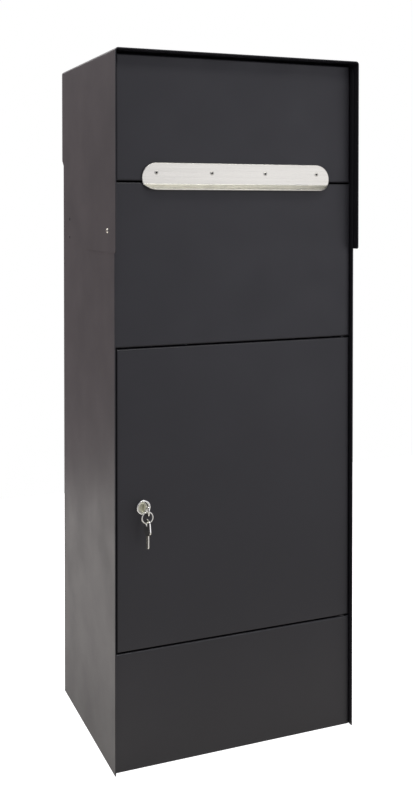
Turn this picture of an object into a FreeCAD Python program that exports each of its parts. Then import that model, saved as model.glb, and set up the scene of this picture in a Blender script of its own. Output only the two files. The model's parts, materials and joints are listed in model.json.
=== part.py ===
"""Free-standing parcel drop box in bent sheet steel, modelled in millimetres.

Frame: +X to the right, +Y to the back, +Z up. The origin is on the floor, midway between the
side walls and 147.5 ahead of the cabinet's back.
The upper hood is a lid that turns about a hinge at the rear top edge. Two rods tie it to a tray
inside, so the tray bars the shaft while the lid is open and drops the parcel as the lid closes.
The lower door turns on two pins at the right and has a cam lock with a key in it.
"""
import FreeCAD, Part
import math
import os

from FreeCAD import Vector

# ---- driving dimensions -------------------------------------------------------------------
cabinet_width = 400.0
cabinet_depth = 293.5
rear_y = 147.5                 # back of the cabinet
overall_height = 1070.0
sheet = 1.5
bend_radius = 0.5              # inside radius of an ordinary bend
panel_bend_radius = 3.0        # outside radius of the front panels' bends

panel_recess = 8.0             # front panels lie behind the front edges of the side walls
panel_depth = 22.0             # fixed front panels, measured back from their faces
wall_flange = 20.0             # bent edges of the rear wall and the base pan
seam_gap = 2.0
door_seam_z = 177.4            # centre of the seam under the door
fascia_seam_z = 630.0          # centre of the seam over the door
lid_seam_z = 876.6             # centre of the seam under the lid's flap
panel_left_x = -195.0          # left edge of the door and the flap
panel_right_x = 197.6          # right edge of the door and the flap
flap_top_z = 1064.7

wall_top_z = 1060.0
hood_side_gap = 0.8
hood_overhang = 12.5           # hood front edge, ahead of the side walls
hood_rear_overhang = 0.4
hood_bend_outer = 5.0
hood_skirt_z = 772.0           # straight lower edge of the hood's sides
hood_skirt_rear_z = 918.0      # where the slanted lower edge meets the rear edge
hood_skirt_turn_y = 1.0        # where the straight edge turns into the slanted one
hood_skirt_turn_radius = 50.0
hood_corner_radius = 4.0
flap_return = 15.0
flap_step = 20.0               # step up to the hood's underside, behind the flap's face
flap_foot = 15.0
gusset_reach = 62.0
gusset_toe = 8.0

lid_axis_y = 142.0
lid_axis_z = 1064.4
knuckle_radius = 3.8
knuckle_count = 9
knuckle_length = 40.0
knuckle_gap = 0.6
lid_pin_radius = 1.5
lid_pin_head_radius = 2.7
lid_pin_head = 1.5
leaf_width = 30.0

handle_length = 314.0
handle_radius = 22.6           # flat outline is a stadium, before its lower edge is bent out
handle_thickness = 2.0
handle_top_z = 904.9
handle_fold_z = 873.1
handle_lip_angle = 52.0
handle_backing_thickness = 0.6
handle_backing_inset = 2.0
handle_rivet_z = 890.0
handle_rivet_pitch = 89.5
handle_rivet_count = 4
handle_rivet_head_radius = 3.0
handle_rivet_head = 0.9
handle_rivet_tail_radius = 3.4
handle_rivet_tail = 1.4

glide_y = -119.5
glide_z = 803.5
glide_pad_radius = 8.0
glide_pad_gap = 0.1            # between the pad and the cabinet's wall
glide_screw_gap = 0.2
glide_head_radius = 3.6
glide_head = 2.0
glide_socket_radius = 1.4
glide_socket_depth = 1.2

rivet_shank = 2.0              # shank radius of every rivet and glide screw
rivet_head_radius = 3.2
rivet_head_height = 1.0

buffer_gap = 0.1               # left between a rubber pad and what closes on it
lid_buffer_x = 150.0
lid_buffer_radius = 4.5
lid_buffer_setback = 7.0       # behind the flap's face
door_buffer_x = -185.0
door_buffer_radius = 4.0
door_buffer_heights = (235.0, 570.0)

deflector_top_z = 926.0
deflector_bend_z = 902.0
deflector_end_y = 122.0
deflector_end_z = 818.0
deflector_half_width = 186.0

tray_axis_y = 109.0
tray_axis_z = 803.5
tray_rest_angle = 75.0         # below the horizontal, towards the front
tray_length = 246.0
tray_plate_offset = 9.0        # back of the tray's plate, behind its axis
tray_half_width = 190.0
tray_lip = 12.0
tray_stud_radius = 4.0
tray_rivet_spacing = 30.6
tray_cheek_start = -14.0       # rear end of the cheeks, along the plate from the axis
tray_cheek_height = 10.0       # cheeks ahead of the axis and of the link's pin
tray_plate_start = -2.0
bracket_thickness = 2.0
bracket_half_width = 12.0
bracket_half_height = 26.0
bracket_corner = 5.0
stud_end_x = 184.5
tray_washer_radius = 8.0
tray_washer_gap = 0.2
clip_radius = 6.5
clip_thickness = 1.0
clip_opening = 5.0
clip_gap = 0.3
guard_wall = 1.5
guard_depth = 5.0

link_arm_y = -75.0             # link pins from the lid's axis, and from the tray's axis
link_arm_z = -8.0
link_pin_radius = 3.0
link_inner_x = 190.7
link_thickness = 3.0
link_half_width = 7.5
link_pin_head = 1.7
link_pin_head_radius = 5.0
link_pin_tail = 1.5
link_pin_tail_radius = 4.5
link_head_gap = 0.5
ear_half_width = 14.0
ear_corner = 8.0               # ear's round end, round the link's pin
ear_foot = 18.0
running_clearance = 0.05
open_pivot_clearance = 0.4

door_depth = 12.0
door_axis_x = 186.0
door_axis_offset = 5.0         # door axis, behind the door's face
door_pin_radius = 2.5
door_pin_length = 36.0
door_pin_reach = 7.0           # into the panel above or below the door
door_washer_radius = 4.8
door_washer_gap = 0.1
door_lip = 16.0                # second bend along the door's latch edge
stiffener_half_width = 22.0
stiffener_brim = 14.0
stiffener_end_gap = 12.0
door_bracket_thickness = 2.0
door_bracket_inset = 10.0      # from the inner end of the pin
door_bracket_reach = 12.0
door_bracket_leg = 12.0        # leg below and above the bracket's plate

jamb_front_y = -121.4
hinge_jamb_front_y = -116.0
jamb_reach = 26.5
jamb_leg = 24.0
jamb_end_gap = 2.0
strike_start_x = -190.0
strike_end_x = -174.0
strike_thickness = 2.0
strike_half_height = 25.0

lock_x = -153.3
lock_z = 391.7
lock_rim_radius = 11.0
lock_rim_height = 3.0
lock_rim_rounding = 1.2
lock_rim_width = 2.0
lock_barrel_radius = 9.0
lock_barrel_end_y = -119.0
plug_head_radius = 7.0
plug_radius = 6.0
plug_head_depth = 2.0
plug_stud_radius = 3.0
plug_stud_length = 6.0
plug_face_height = 2.2         # ahead of the door's face
keyway_width = 2.4
keyway_height = 9.0
cam_front_y = -117.4
cam_thickness = 2.0
cam_reach = 42.0
cam_half_width = 7.0
cam_square = 7.0
cam_end_corner = 4.0
cam_washer_radius = 6.5
cam_washer_thickness = 1.0
cam_nut_across_flats = 10.0
cam_nut_thickness = 4.0
lock_nut_across_flats = 24.0
lock_nut_thickness = 4.0

key_bow_length = 24.0
key_bow_width = 21.0           # at its shoulders
key_bow_end_width = 15.5       # at its free end
key_bow_end_corner = 6.5
key_shoulder_corner = 5.0
key_shoulder = 4.0             # slope from the bow to the blade
key_tip_corner = 2.5
key_thickness = 2.0
key_blade_length = 20.0
key_blade_width = 8.0
key_hole_radius = 3.2
key_hole_from_end = 8.0
key_standoff = 1.0             # bow, ahead of the plug's face
ring_radius = 8.4
ring_wire_radius = 0.8
ring_rest_clearance = 0.25
spare_key_turn = 9.0           # degrees about the vertical

floor_hole_radius = 5.5
floor_hole_x = 150.0
floor_hole_y = 100.0
wall_hole_radius = 4.5
wall_hole_x = 120.0
wall_hole_low_z = 250.0
wall_hole_high_z = 950.0

# ---- derived sizes ------------------------------------------------------------------------
wall_outer_x = cabinet_width / 2
wall_inner_x = wall_outer_x - sheet
front_y = rear_y - cabinet_depth
rear_inner_y = rear_y - sheet
panel_face_y = front_y + panel_recess
panel_inner_y = panel_face_y + sheet
panel_bend_end_y = panel_face_y + panel_bend_radius
plinth_top_z = door_seam_z - seam_gap / 2
door_bottom_z = door_seam_z + seam_gap / 2
door_top_z = fascia_seam_z - seam_gap / 2
fascia_bottom_z = fascia_seam_z + seam_gap / 2
fascia_top_z = lid_seam_z - seam_gap / 2
flap_bottom_z = lid_seam_z + seam_gap / 2
flap_centre_x = (panel_left_x + panel_right_x) / 2

hood_inner_x = wall_outer_x + hood_side_gap
hood_outer_x = hood_inner_x + sheet
hood_front_y = front_y - hood_overhang
hood_rear_y = rear_y + hood_rear_overhang
hood_inner_z = overall_height - sheet

lid_link_y = lid_axis_y + link_arm_y
lid_link_z = lid_axis_z + link_arm_z
tray_link_y = tray_axis_y + link_arm_y
tray_link_z = tray_axis_z + link_arm_z

door_axis_y = panel_face_y + door_axis_offset
door_back_y = panel_face_y + door_depth
jamb_bottom_z = plinth_top_z + jamb_end_gap
jamb_top_z = fascia_bottom_z - jamb_end_gap

plug_face_y = panel_face_y - plug_face_height
cam_end_y = cam_front_y + cam_thickness
tail_end_y = cam_end_y + plug_stud_length

key_bow_start_y = plug_face_y - key_standoff
key_hole_y = key_bow_start_y - key_bow_length + key_hole_from_end
ring_centre_z = lock_z - key_hole_radius + ring_rest_clearance - (ring_radius - ring_wire_radius)
ring_bottom_z = ring_centre_z - ring_radius
spare_hole_z = ring_bottom_z + ring_wire_radius + ring_rest_clearance - key_hole_radius

EXTRA = 1.0                    # how far a cutting shape runs past what it cuts


# ---- helpers ------------------------------------------------------------------------------
def box(x0, x1, y0, y1, z0, z1):
    """Box between two corners."""
    return Part.makeBox(x1 - x0, y1 - y0, z1 - z0, Vector(x0, y0, z0))


def rod_x(x0, x1, y, z, radius):
    """Cylinder along X from x0 to x1, in either order."""
    low = min(x0, x1)
    return Part.makeCylinder(radius, abs(x1 - x0), Vector(low, y, z), Vector(1, 0, 0))


def rod_y(x, y0, y1, z, radius):
    """Cylinder along Y."""
    return Part.makeCylinder(radius, y1 - y0, Vector(x, y0, z), Vector(0, 1, 0))


def rod_z(x, y, z0, z1, radius):
    """Cylinder along Z."""
    return Part.makeCylinder(radius, z1 - z0, Vector(x, y, z0), Vector(0, 0, 1))


def mirrored(shape):
    """The same shape on the other side of the cabinet."""
    return shape.mirror(Vector(0, 0, 0), Vector(1, 0, 0))


def on_yz(u, v):
    """Point of an outline that is drawn in the Y-Z plane."""
    return Vector(0, u, v)


def on_xy(u, v):
    """Point of an outline that is drawn in the X-Y plane."""
    return Vector(u, v, 0)


def on_xz(u, v):
    """Point of an outline that is drawn in the X-Z plane."""
    return Vector(u, 0, v)


def rounded_face(corners, place):
    """Flat face with the given corners, each (u, v, radius)."""
    starts = []
    ends = []
    middles = []
    count = len(corners)
    for index, (u, v, radius) in enumerate(corners):
        here = place(u, v)
        before = place(*corners[index - 1][:2]) - here
        after = place(*corners[(index + 1) % count][:2]) - here
        before.normalize()
        after.normalize()
        half_angle = before.getAngle(after) / 2
        reach = radius / math.tan(half_angle)
        inward = before + after
        starts.append(here + before * reach)
        ends.append(here + after * reach)
        if radius:
            inward.normalize()
            middles.append(here + inward * (radius / math.sin(half_angle) - radius))
        else:
            middles.append(None)
    edges = []
    for index in range(count):
        if middles[index]:
            edges.append(Part.Arc(starts[index], middles[index], ends[index]).toShape())
        following = starts[(index + 1) % count]
        if ends[index].distanceToPoint(following) > 1e-6:
            edges.append(Part.LineSegment(ends[index], following).toShape())
    return Part.Face(Part.Wire(edges))


def prism(corners, place, start, end):
    """Solid from an outline, pulled along the axis that its plane faces."""
    direction = place(1, 0).cross(place(0, 1))
    if place is on_xz:
        direction = -direction
    face = rounded_face(corners, place)
    face.translate(direction * start)
    return face.extrude(direction * (end - start))


def bent_sheet(points, place, start, end, thickness=sheet, radius=bend_radius):
    """Bent sheet: the points run along one face, and the sheet lies to the left of them."""
    normals = []
    for (u0, v0), (u1, v1) in zip(points, points[1:]):
        run = math.hypot(u1 - u0, v1 - v0)
        normals.append((-(v1 - v0) / run, (u1 - u0) / run))
    near = []
    far = []
    for index, (u, v) in enumerate(points):
        before = normals[max(index - 1, 0)]
        after = normals[min(index, len(normals) - 1)]
        dot = before[0] * after[0] + before[1] * after[1]
        turn = before[0] * after[1] - before[1] * after[0]
        scale = thickness / (1 + dot)
        near_radius = 0.0
        far_radius = 0.0
        if 0 < index < len(points) - 1:
            near_radius = radius + thickness if turn > 0 else radius
            far_radius = radius if turn > 0 else radius + thickness
        near.append((u, v, near_radius))
        far.append((u + (before[0] + after[0]) * scale, v + (before[1] + after[1]) * scale, far_radius))
    return prism(near + far[::-1], place, start, end)


def front_pan(x0, x1, z0, z1, depth, open_below=False):
    """Front panel with its four edges bent back, or three where it is open below."""
    shell = box(x0, x1, panel_face_y, panel_face_y + depth, z0, z1)
    front_edges = []
    for edge in shell.Edges:
        middle = edge.BoundBox.Center
        on_face = abs(middle.y - panel_face_y) < 1e-6
        at_bottom = abs(middle.z - z0) < 1e-6
        if on_face and not (open_below and at_bottom):
            front_edges.append(edge)
    shell = shell.makeFillet(panel_bend_radius, front_edges)
    low = z0 - EXTRA if open_below else z0 + sheet
    inside = box(x0 + sheet, x1 - sheet, panel_inner_y, panel_face_y + depth + EXTRA, low, z1 - sheet)
    inner_edges = []
    for edge in inside.Edges:
        middle = edge.BoundBox.Center
        on_face = abs(middle.y - panel_inner_y) < 1e-6
        at_bottom = abs(middle.z - low) < 1e-6
        if on_face and not (open_below and at_bottom):
            inner_edges.append(edge)
    inside = inside.makeFillet(panel_bend_radius - sheet, inner_edges)
    return shell.cut(inside)


def dome_head(base, direction, radius, height):
    """Low round head of a rivet or screw."""
    sphere_radius = (radius ** 2 + height ** 2) / (2 * height)
    centre = base - direction * (sphere_radius - height)
    base_latitude = math.degrees(math.asin((sphere_radius - height) / sphere_radius))
    return Part.makeSphere(sphere_radius, centre, direction, base_latitude, 90, 360)


def save(name, shape):
    """Write one sub-part."""
    shape.exportStep("parts/" + name + ".step")


# ---- cabinet ------------------------------------------------------------------------------
def side_wall():
    """Left side wall, a flat sheet with one hole for each rivet of the tray's bracket."""
    wall = box(-wall_outer_x, -wall_inner_x, front_y, rear_y, 0, wall_top_z)
    for z in tray_rivet_heights():
        wall = wall.cut(rod_x(-wall_outer_x - EXTRA, -wall_inner_x + EXTRA, tray_axis_y, z, rivet_shank))
    return wall


def rear_wall():
    """Rear sheet with its sides bent forward, and four holes to fasten it to a building."""
    flange_y = rear_inner_y - wall_flange
    wall = box(-wall_inner_x, wall_inner_x, flange_y, rear_y, 0, wall_top_z)
    inside_x = wall_inner_x - sheet
    wall = wall.cut(box(-inside_x, inside_x, flange_y - EXTRA, rear_inner_y, -EXTRA, wall_top_z + EXTRA))
    for x in (-wall_hole_x, wall_hole_x):
        for z in (wall_hole_low_z, wall_hole_high_z):
            wall = wall.cut(rod_y(x, rear_inner_y - EXTRA, rear_y + EXTRA, z, wall_hole_radius))
    return wall


def base_pan():
    """Floor sheet with its four edges bent up, and four holes for floor anchors."""
    half = wall_inner_x - sheet
    pan = box(-half, half, panel_bend_end_y, rear_inner_y, 0, wall_flange)
    pan = pan.cut(box(-half + sheet, half - sheet, panel_bend_end_y + sheet, rear_inner_y - sheet,
                      sheet, wall_flange + EXTRA))
    for x in (-floor_hole_x, floor_hole_x):
        for y in (-floor_hole_y, floor_hole_y):
            pan = pan.cut(rod_z(x, y, -EXTRA, sheet + EXTRA, floor_hole_radius))
    return pan


def plinth_panel():
    """Fixed panel under the door, with the socket of the door's lower pin."""
    panel = front_pan(-wall_inner_x, wall_inner_x, 0, plinth_top_z, panel_depth, open_below=True)
    return panel.cut(rod_z(door_axis_x, door_axis_y, plinth_top_z - sheet - EXTRA, plinth_top_z + EXTRA,
                           door_pin_radius + running_clearance))


def fascia_panel():
    """Fixed panel between the door and the lid, with the socket of the door's upper pin."""
    panel = front_pan(-wall_inner_x, wall_inner_x, fascia_bottom_z, fascia_top_z, panel_depth)
    return panel.cut(rod_z(door_axis_x, door_axis_y, fascia_bottom_z - EXTRA, fascia_bottom_z + sheet + EXTRA,
                           door_pin_radius + running_clearance))


def latch_jamb():
    """Angle on the left wall that the door's edge closes against."""
    points = [(-wall_inner_x, jamb_front_y + jamb_leg),
              (-wall_inner_x, jamb_front_y),
              (-wall_inner_x + jamb_reach, jamb_front_y)]
    return bent_sheet(points, on_xy, jamb_bottom_z, jamb_top_z)


def hinge_jamb():
    """Angle on the right wall behind the door's hinged edge."""
    points = [(wall_inner_x - jamb_reach, hinge_jamb_front_y),
              (wall_inner_x, hinge_jamb_front_y),
              (wall_inner_x, hinge_jamb_front_y + jamb_leg)]
    return bent_sheet(points, on_xy, jamb_bottom_z, jamb_top_z)


def strike_plate():
    """Thick plate behind the latch jamb that the lock's cam bears on."""
    start_y = jamb_front_y + sheet
    return box(strike_start_x, strike_end_x, start_y, start_y + strike_thickness,
               lock_z - strike_half_height, lock_z + strike_half_height)


def rear_deflector():
    """Slanted sheet on the rear wall that covers the gap behind the tray's axis."""
    points = [(rear_inner_y - sheet, deflector_top_z),
              (rear_inner_y - sheet, deflector_bend_z),
              (deflector_end_y, deflector_end_z)]
    return bent_sheet(points, on_yz, -deflector_half_width, deflector_half_width)


def tray_rivet_heights():
    """Heights of the two rivets of one tray bracket."""
    return [tray_axis_z - tray_rivet_spacing / 2, tray_axis_z + tray_rivet_spacing / 2]


def tray_bracket():
    """Plate on the left wall with the stud that the tray turns on."""
    plate_x = -wall_inner_x + bracket_thickness
    corners = []
    for side, end in ((-1, -1), (1, -1), (1, 1), (-1, 1)):
        corners.append((tray_axis_y + side * bracket_half_width,
                        tray_axis_z + end * bracket_half_height, bracket_corner))
    plate = prism(corners, on_yz, -wall_inner_x, plate_x)
    for z in tray_rivet_heights():
        plate = plate.cut(rod_x(-wall_inner_x - EXTRA, plate_x + EXTRA, tray_axis_y, z, rivet_shank))
    stud = rod_x(plate_x, -stud_end_x, tray_axis_y, tray_axis_z, tray_stud_radius)
    return plate.fuse(stud).removeSplitter()


def tray_washers():
    """Nylon washers between the brackets and the tray's cheeks."""
    outer = rod_x(-wall_inner_x + bracket_thickness, -tray_half_width - tray_washer_gap,
                  tray_axis_y, tray_axis_z, tray_washer_radius)
    inner = rod_x(-wall_inner_x, -tray_half_width + EXTRA, tray_axis_y, tray_axis_z, tray_stud_radius)
    left = outer.cut(inner)
    return Part.makeCompound([left, mirrored(left)])


def tray_clips():
    """Retaining rings on the ends of the tray's studs."""
    start = -tray_half_width + sheet + clip_gap
    end = start + clip_thickness
    outer = rod_x(start, end, tray_axis_y, tray_axis_z, clip_radius)
    inner = rod_x(start - EXTRA, end + EXTRA, tray_axis_y, tray_axis_z, tray_stud_radius)
    opening = box(start - EXTRA, end + EXTRA, tray_axis_y - clip_opening / 2, tray_axis_y + clip_opening / 2,
                  tray_axis_z - clip_radius - EXTRA, tray_axis_z)
    left = outer.cut(inner).cut(opening)
    return Part.makeCompound([left, mirrored(left)])


def wall_rivets():
    """Painted rivets that hold the tray brackets, two on each side."""
    solids = []
    for z in tray_rivet_heights():
        outside = Vector(-wall_outer_x, tray_axis_y, z)
        inside = Vector(-wall_inner_x + bracket_thickness, tray_axis_y, z)
        shank = rod_x(-wall_outer_x, -wall_inner_x + bracket_thickness, tray_axis_y, z, rivet_shank)
        head = dome_head(outside, Vector(-1, 0, 0), rivet_head_radius, rivet_head_height)
        tail = dome_head(inside, Vector(1, 0, 0), rivet_head_radius, rivet_head_height)
        rivet = shank.fuse(head).fuse(tail)
        solids.append(rivet)
        solids.append(mirrored(rivet))
    return Part.makeCompound(solids)


# ---- lid hinge ----------------------------------------------------------------------------
def knuckle_spans():
    """Start and end of each knuckle along X."""
    pitch = knuckle_length + knuckle_gap
    first = -(knuckle_count * pitch - knuckle_gap) / 2
    return [(first + index * pitch, first + index * pitch + knuckle_length) for index in range(knuckle_count)]


def hinge_leaf(fixed):
    """One leaf of the lid's hinge: the fixed one has the first, third and further odd knuckles."""
    spans = knuckle_spans()
    low = spans[0][0]
    high = spans[-1][1]
    knuckle_clear = knuckle_radius + 0.4
    if fixed:
        leaf = box(low, high, rear_inner_y - sheet, rear_inner_y, lid_axis_z - leaf_width,
                   lid_axis_z - knuckle_clear)
    else:
        leaf = box(low, high, lid_axis_y - leaf_width, lid_axis_y - knuckle_clear,
                   hood_inner_z - sheet, hood_inner_z)
    for index, (start, end) in enumerate(spans):
        if (index % 2 == 0) != fixed:
            continue
        leaf = leaf.fuse(rod_x(start, end, lid_axis_y, lid_axis_z, knuckle_radius))
        if fixed:
            web = box(start, end, rear_inner_y - sheet, rear_inner_y, lid_axis_z - knuckle_clear - EXTRA,
                      lid_axis_z)
        else:
            web = box(start, end, lid_axis_y - knuckle_clear - EXTRA, lid_axis_y,
                      hood_inner_z - sheet, hood_inner_z)
        leaf = leaf.fuse(web)
    bore = rod_x(low - EXTRA, high + EXTRA, lid_axis_y, lid_axis_z, lid_pin_radius + running_clearance)
    return leaf.cut(bore).removeSplitter()


def lid_hinge_pin():
    """Steel rod through all the knuckles, with a head at each end."""
    low = knuckle_spans()[0][0]
    high = knuckle_spans()[-1][1]
    pin = rod_x(low - lid_pin_head, high + lid_pin_head, lid_axis_y, lid_axis_z, lid_pin_radius)
    for start in (low - lid_pin_head, high):
        pin = pin.fuse(rod_x(start, start + lid_pin_head, lid_axis_y, lid_axis_z, lid_pin_head_radius))
    return pin


def lid_buffers():
    """Rubber pads on the fascia's ledge that the lid's flap comes down on."""
    y = panel_face_y + lid_buffer_setback
    pads = [rod_z(x, y, fascia_top_z, flap_bottom_z - buffer_gap, lid_buffer_radius)
            for x in (-lid_buffer_x, lid_buffer_x)]
    return Part.makeCompound(pads)


def door_buffers():
    """Rubber pads on the latch jamb that the door's edge comes to rest on."""
    pads = [rod_y(door_buffer_x, door_back_y + buffer_gap, jamb_front_y, z, door_buffer_radius)
            for z in door_buffer_heights]
    return Part.makeCompound(pads)


# ---- lid ----------------------------------------------------------------------------------
def hood_shell():
    """Top and two sides of the lid in one bent sheet."""
    outer = box(-hood_outer_x, hood_outer_x, hood_front_y, hood_rear_y, hood_skirt_z, overall_height)
    bends = [edge for edge in outer.Edges
             if abs(edge.BoundBox.Center.z - overall_height) < 1e-6
             and abs(abs(edge.BoundBox.Center.x) - hood_outer_x) < 1e-6]
    outer = outer.makeFillet(hood_bend_outer, bends)
    inner = box(-hood_inner_x, hood_inner_x, hood_front_y - EXTRA, hood_rear_y + EXTRA,
                hood_skirt_z - EXTRA, hood_inner_z)
    bends = [edge for edge in inner.Edges
             if abs(edge.BoundBox.Center.z - hood_inner_z) < 1e-6
             and abs(abs(edge.BoundBox.Center.x) - hood_inner_x) < 1e-6]
    inner = inner.makeFillet(hood_bend_outer - sheet, bends)
    corners = [(hood_front_y, overall_height, 0),
               (hood_front_y, hood_skirt_z, hood_corner_radius),
               (hood_skirt_turn_y, hood_skirt_z, hood_skirt_turn_radius),
               (hood_rear_y, hood_skirt_rear_z, hood_corner_radius),
               (hood_rear_y, overall_height, 0)]
    silhouette = prism(corners, on_yz, -hood_outer_x - EXTRA, hood_outer_x + EXTRA)
    shell = outer.cut(inner).common(silhouette)
    hole = rod_x(-hood_outer_x - EXTRA, hood_outer_x + EXTRA, glide_y, glide_z, rivet_shank)
    return shell.cut(hole)


def lid_flap():
    """Front of the lid: a pan whose top edge steps up to the hood's underside."""
    flap = front_pan(panel_left_x, panel_right_x, flap_bottom_z, flap_top_z, flap_return)
    step_y = panel_face_y + flap_step
    points = [(panel_face_y + flap_return - sheet, flap_top_z - sheet),
              (step_y, flap_top_z - sheet),
              (step_y, hood_inner_z - sheet),
              (step_y + flap_foot, hood_inner_z - sheet)]
    foot = bent_sheet(points, on_yz, panel_left_x + flap_return, panel_right_x - flap_return)
    flap = flap.fuse(foot).removeSplitter()
    for x in handle_rivet_places():
        flap = flap.cut(rod_y(x, panel_face_y - EXTRA, panel_inner_y + EXTRA, handle_rivet_z, rivet_shank))
    return flap


def flap_gussets():
    """Triangular stays between the flap's sides and the hood's underside."""
    toe_corner = 3.0
    low_z = hood_inner_z - gusset_reach
    notch_y = panel_face_y + flap_return + 2.0
    notch_z = flap_top_z - sheet - 1.0
    corners = [(notch_y, hood_inner_z, 0),
               (notch_y, notch_z, 0),
               (panel_bend_end_y, notch_z, 0),
               (panel_bend_end_y, low_z, toe_corner),
               (panel_bend_end_y + gusset_toe, low_z, toe_corner),
               (panel_bend_end_y + gusset_reach, hood_inner_z, 0)]
    gussets = []
    for x in (panel_left_x + sheet, panel_right_x - 2 * sheet):
        gussets.append(prism(corners, on_yz, x, x + sheet))
    return Part.makeCompound(gussets)


def handle_rivet_places():
    """X of each handle rivet."""
    first = flap_centre_x - handle_rivet_pitch * (handle_rivet_count - 1) / 2
    return [first + index * handle_rivet_pitch for index in range(handle_rivet_count)]


def handle_stadium(back_y, front_y_of_plate, shrink=0.0):
    """Upright plate with round ends, its faces at the two given Y."""
    radius = handle_radius - shrink
    half = handle_length / 2 - shrink
    centre_z = handle_top_z - handle_radius
    left = flap_centre_x - half
    right = flap_centre_x + half
    bar = box(left + radius, right - radius, front_y_of_plate, back_y, centre_z - radius, centre_z + radius)
    for x in (left + radius, right - radius):
        bar = bar.fuse(rod_y(x, front_y_of_plate, back_y, centre_z, radius))
    return bar.removeSplitter()


def pull_handle():
    """Stainless plate with its lower edge bent out as a finger lip."""
    back_y = panel_face_y - handle_backing_thickness
    front = back_y - handle_thickness
    stadium = handle_stadium(back_y, front)
    far = handle_length
    upper = stadium.common(box(-far, far, front - EXTRA, back_y + EXTRA, handle_fold_z, overall_height))
    lower = stadium.common(box(-far, far, front - EXTRA, back_y + EXTRA, 0, handle_fold_z))
    lower.rotate(Vector(0, front, handle_fold_z), Vector(1, 0, 0), -handle_lip_angle)
    chord_height = handle_fold_z - (handle_top_z - handle_radius)
    half_chord = handle_length / 2 - handle_radius + math.sqrt(handle_radius ** 2 - chord_height ** 2)
    knee = rod_x(flap_centre_x - half_chord, flap_centre_x + half_chord, front, handle_fold_z,
                 handle_thickness)
    knee = knee.cut(box(-far, far, front - 2 * handle_thickness, front, 0, overall_height))
    tilt = math.radians(handle_lip_angle)
    wedge = prism([(front, handle_fold_z, 0),
                   (front + 3 * handle_thickness, handle_fold_z, 0),
                   (front + 3 * handle_thickness, handle_fold_z - 3 * handle_thickness, 0),
                   (front + 3 * handle_thickness * math.cos(tilt),
                    handle_fold_z - 3 * handle_thickness * math.sin(tilt) - 2 * handle_thickness, 0)],
                  on_yz, -far, far)
    knee = knee.common(wedge)
    handle = upper.fuse(lower).fuse(knee)
    for x in handle_rivet_places():
        handle = handle.cut(rod_y(x, front - EXTRA, back_y + EXTRA, handle_rivet_z, rivet_shank))
    return handle.removeSplitter()


def handle_backing():
    """Thin plastic strip that keeps the handle off the paint."""
    back = panel_face_y
    strip = handle_stadium(back, back - handle_backing_thickness, shrink=handle_backing_inset)
    strip = strip.common(box(-handle_length, handle_length, back - EXTRA, back,
                             flap_bottom_z + handle_backing_inset, overall_height))
    for x in handle_rivet_places():
        strip = strip.cut(rod_y(x, back - EXTRA, back + EXTRA, handle_rivet_z, rivet_shank))
    return strip


def handle_rivets():
    """Four stainless rivets through the handle and the flap."""
    front = panel_face_y - handle_backing_thickness - handle_thickness
    rivets = []
    for x in handle_rivet_places():
        shank = rod_y(x, front, panel_inner_y, handle_rivet_z, rivet_shank)
        head = dome_head(Vector(x, front, handle_rivet_z), Vector(0, -1, 0),
                         handle_rivet_head_radius, handle_rivet_head)
        tail = dome_head(Vector(x, panel_inner_y, handle_rivet_z), Vector(0, 1, 0),
                         handle_rivet_tail_radius, handle_rivet_tail)
        rivets.append(shank.fuse(head).fuse(tail))
    return Part.makeCompound(rivets)


def glide_pads():
    """Nylon pads inside the hood's sides that slide on the cabinet's walls."""
    pad = rod_x(-hood_inner_x, -wall_outer_x - glide_pad_gap, glide_y, glide_z, glide_pad_radius)
    pad = pad.cut(rod_x(-hood_inner_x - EXTRA, -wall_outer_x, glide_y, glide_z, rivet_shank))
    return Part.makeCompound([pad, mirrored(pad)])


def glide_screws():
    """Stainless button-head screws through the hood's sides into the pads."""
    top_x = -hood_outer_x - glide_head
    shank = rod_x(-hood_outer_x, -wall_outer_x - glide_screw_gap, glide_y, glide_z, rivet_shank)
    head = dome_head(Vector(-hood_outer_x, glide_y, glide_z), Vector(-1, 0, 0), glide_head_radius, glide_head)
    socket = rod_x(top_x - EXTRA, top_x + glide_socket_depth, glide_y, glide_z, glide_socket_radius)
    screw = shank.fuse(head).cut(socket)
    return Part.makeCompound([screw, mirrored(screw)])


# ---- tray and links -----------------------------------------------------------------------
def tray_point(along, ahead):
    """Y and Z of a point of the tray: along its plate from the axis, and ahead of the axis."""
    angle = math.radians(tray_rest_angle)
    y = tray_axis_y - along * math.cos(angle) - ahead * math.sin(angle)
    z = tray_axis_z - along * math.sin(angle) + ahead * math.cos(angle)
    return y, z


def link_pin_on_tray():
    """The link pin in the tray's own directions: along and ahead."""
    angle = math.radians(tray_rest_angle)
    along = -link_arm_y * math.cos(angle) - link_arm_z * math.sin(angle)
    ahead = -link_arm_y * math.sin(angle) + link_arm_z * math.cos(angle)
    return along, ahead


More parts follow.
